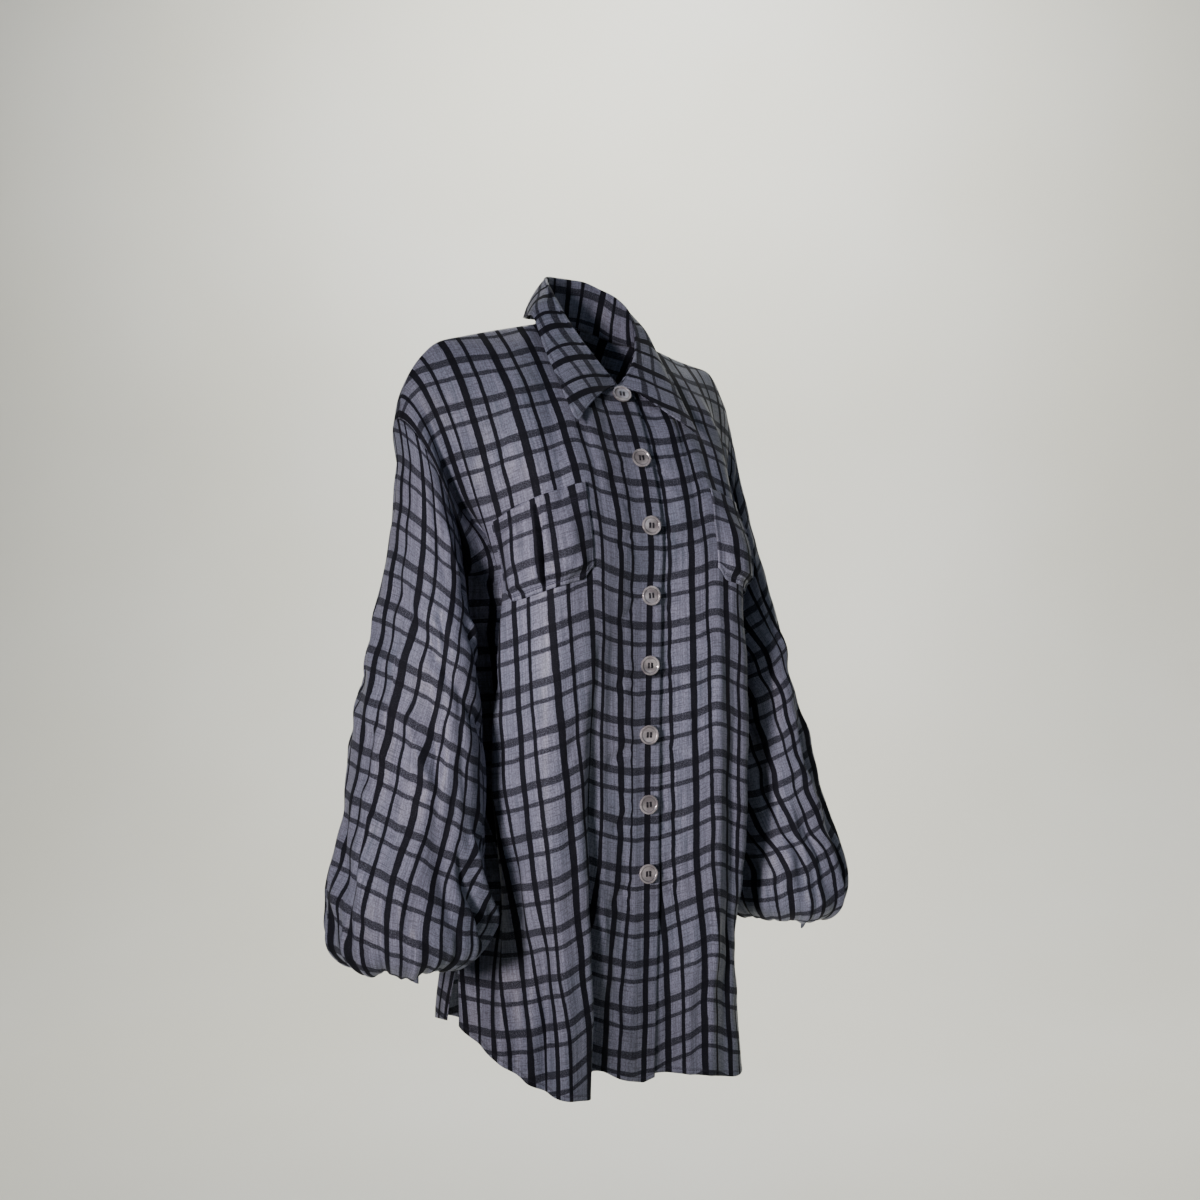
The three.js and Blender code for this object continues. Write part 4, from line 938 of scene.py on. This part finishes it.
def make_button(radius):
    disc = cylinder("Button", vertices=72, radius=radius, depth=0.0028, location=(0, 0, 0.0014))
    bpy.ops.object.mode_set(mode="EDIT")
    top_face_only()
    bpy.ops.mesh.inset(thickness=0.0017)
    bpy.ops.mesh.inset(thickness=0.0008)
    bpy.ops.transform.translate(value=(0, 0, -0.0009))
    bpy.ops.mesh.inset(thickness=radius * 0.3)
    bpy.ops.transform.translate(value=(0, 0, -0.0002))
    bpy.ops.object.mode_set(mode="OBJECT")
    apply_modifier(disc, "BEVEL", width=0.0004, segments=3, limit_method="ANGLE",
                   angle_limit=math.radians(25))
    reach = 0.0019
    for x in (-reach, reach):
        for y in (-reach, reach):
            drill = cylinder("Drill", vertices=20, radius=0.0012, depth=0.008, location=(x, y, 0.001))
            apply_modifier(disc, "BOOLEAN", operation="DIFFERENCE", object=drill)
            bpy.data.objects.remove(drill)
    bpy.ops.object.select_all(action="DESELECT")
    disc.select_set(True)
    bpy.context.view_layer.objects.active = disc
    bpy.ops.object.shade_smooth_by_angle(angle=math.radians(40))
    for material in (shell, thread, shaded_brushed_shell):
        disc.data.materials.append(material)
    # the dished middle inside the rim takes the darker copy of the shell: painted shade, on top of the
    # rougher brushed finish
    for face in disc.data.polygons:
        if face.center.xy.length < radius - 0.0024 and face.center.z > 0.0005:
            face.material_index = 2
    strands = []
    for x in (-reach, reach):
        for shift in (-0.0007, 0, 0.0007):
            strand = cylinder("Strand", vertices=10, radius=0.00045, depth=3.0 * reach,
                              rotation=(math.radians(90), 0, 0),
                              location=(x + shift, 0, 0.0021 - abs(shift) * 0.4))
            bpy.ops.object.transform_apply(location=True, rotation=True)
            for material in (shell, thread):
                strand.data.materials.append(material)
            for face in strand.data.polygons:
                face.material_index = 1
                face.use_smooth = True
            strands.append(strand)
    bpy.ops.object.select_all(action="DESELECT")
    for strand in strands:
        strand.select_set(True)
    disc.select_set(True)
    bpy.context.view_layer.objects.active = disc
    bpy.ops.object.join()
    bpy.ops.object.transform_apply(location=True, rotation=True)
    return disc


def place_button(master, node, point, normal, turn=0.0):
    """Copies the master button into place, its pairs of holes upright on the cloth."""
    mesh = master.data.copy()
    normal = Vector(normal).normalized()
    side = Vector((0, 0, 1)).cross(normal).normalized()
    up = normal.cross(side)
    basis = Matrix((side, up, normal)).transposed().to_4x4() @ Matrix.Rotation(math.radians(turn), 4, "Z")
    mesh.transform(Matrix.Translation(Vector(point) / 1000) @ basis)
    button = put_in_scene(node + "_shell", mesh)
    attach(button, "root")
    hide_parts(node)


BUTTON_LIFT = 2.6  # so that no rim digs into the cloth behind it
large, small = make_button(0.0106), make_button(0.007)
points, normals = cut["front_right"][:2]
centre = np.argmin(np.abs(FRONT_X))
line = points[:, centre]
run = lengths(line)
for n, distance in enumerate(BUTTON_DISTANCES):
    place = [float(np.interp(distance, run, line[:, k])) for k in range(3)]
    place[0] = 0.0
    i = int(np.searchsorted(run, distance))
    slope = line[i + 2] - line[i - 2]
    # each button leans a little to the wearer's right, where the slack lap falls away
    tilt = np.array([-0.22 - 0.02 * (n % 3), 0, 0.03 * (n % 2)])
    normal = unit(unit(np.array([0, slope[2], -slope[1]])) + tilt)
    point = np.array(place) + BUTTON_LIFT * normal
    place_button(large, f"button_{n + 1}", point, normal, (7 * n) % 11 - 5)
for name, side in (("right", -1), ("left", 1)):
    lapped = math.radians(CUFF_END - 15)
    out = np.array([side * math.cos(lapped), -math.sin(lapped), 0])
    x, y, top = WRIST
    middle = np.array([side * x, y, top + SLEEVE_SWING[side] - CUFF_DEPTH / 2]) + CUFF_RADIUS * out
    place_button(small, f"cuff_button_{name}", middle + SILK_WALL * out, out, 4)
for master in (large, small):
    bpy.data.objects.remove(master)
print("buttons:", len(BUTTON_DISTANCES), "down the front and one on each cuff")

# %% [markdown]
# ## Room and light
# A pale cove, floor running up into wall with no corner, keeps attention on the cloth. The main
# lamp stands well to the wearer's right, so every long fold has a lit and a shaded side. A bluish
# window light comes from above it, weak lights from above and in front open the shadows, and a
# separate wash lights the wall. Low down the light falls away, as it does in a room.

# %% Cove
FLOOR_DROP = 1.5  # the floor lies this far below the mount, in metres


def make_cove():
    profile = [(-5.0, 0.0)] + [(2.2 + 1.8 * math.sin(a), 1.8 - 1.8 * math.cos(a))
                               for a in np.radians(np.linspace(0, 90, 19))] + [(4.0, 7.0)]
    verts = []
    turn = Matrix.Rotation(math.radians(-35), 4, "Z")
    for x in (-9.0, 9.0):
        for y, z in profile:
            verts.append(turn @ Vector((x, y, z - FLOOR_DROP)))
    n = len(profile)
    faces = [(i, i + 1, n + i + 1, n + i) for i in range(n - 1)]
    mesh = bpy.data.meshes.new("Cove")
    mesh.from_pydata(verts, [], faces)
    mesh.shade_smooth()
    cove = put_in_scene("Cove", mesh)
    material, tree = new_material("Matt wall paint")
    place = add(tree, "TexCoord").outputs["Object"]
    patch = noise(tree, place, 0.7, 3.0)
    roller = noise(tree, place, 160.0, 2.0)
    paint = mix(tree, step(tree, patch, 0.3, 0.7), colour("#d8d7cf"), colour("#dededa"))
    bump = add(tree, "Bump", Strength=0.05, Distance=0.001, Height=roller)
    finish(tree, paint, bump, Roughness=0.85)
    cove.data.materials.append(material)


def area_light(name, power, size, place, aim, tint, spread=180):
    data = bpy.data.lights.new(name, "AREA")
    data.energy, data.shape, data.size, data.color = power, "DISK", size, colour(tint)[:3]
    data.spread = math.radians(spread)
    light = put_in_scene(name, data)
    light.location = place
    light.rotation_euler = (Vector(aim) - Vector(place)).to_track_quat("-Z", "Y").to_euler()


make_cove()
area_light("Lamp", 2.8, 0.45, (-2.2, -1.25, -0.1), (0.11, -0.1, -0.4), "#fff0f4", 32)
area_light("Window", 3.6, 0.6, (-2.1, -1.15, 0.9), (0, 0, -0.4), "#bcd8ff")
area_light("Top", 2.6, 1.2, (0.3, -0.9, 2.2), (0, 0, -0.4), "#c8deff")
area_light("Fill", 2.4, 1.2, (0.9, -2.4, 0.1), (0, 0, -0.5), "#dce8ff")
area_light("Wall wash", 240, 2.6, (1.0, 1.2, 2.1), (2.9, 3.0, -0.3), "#fcfbf4")
world = bpy.data.worlds.new("Room")
world.use_nodes = True
background = world.node_tree.nodes["Background"]
background.inputs["Color"].default_value = colour("#dfe2e6")
background.inputs["Strength"].default_value = 0.07
bpy.context.scene.world = world
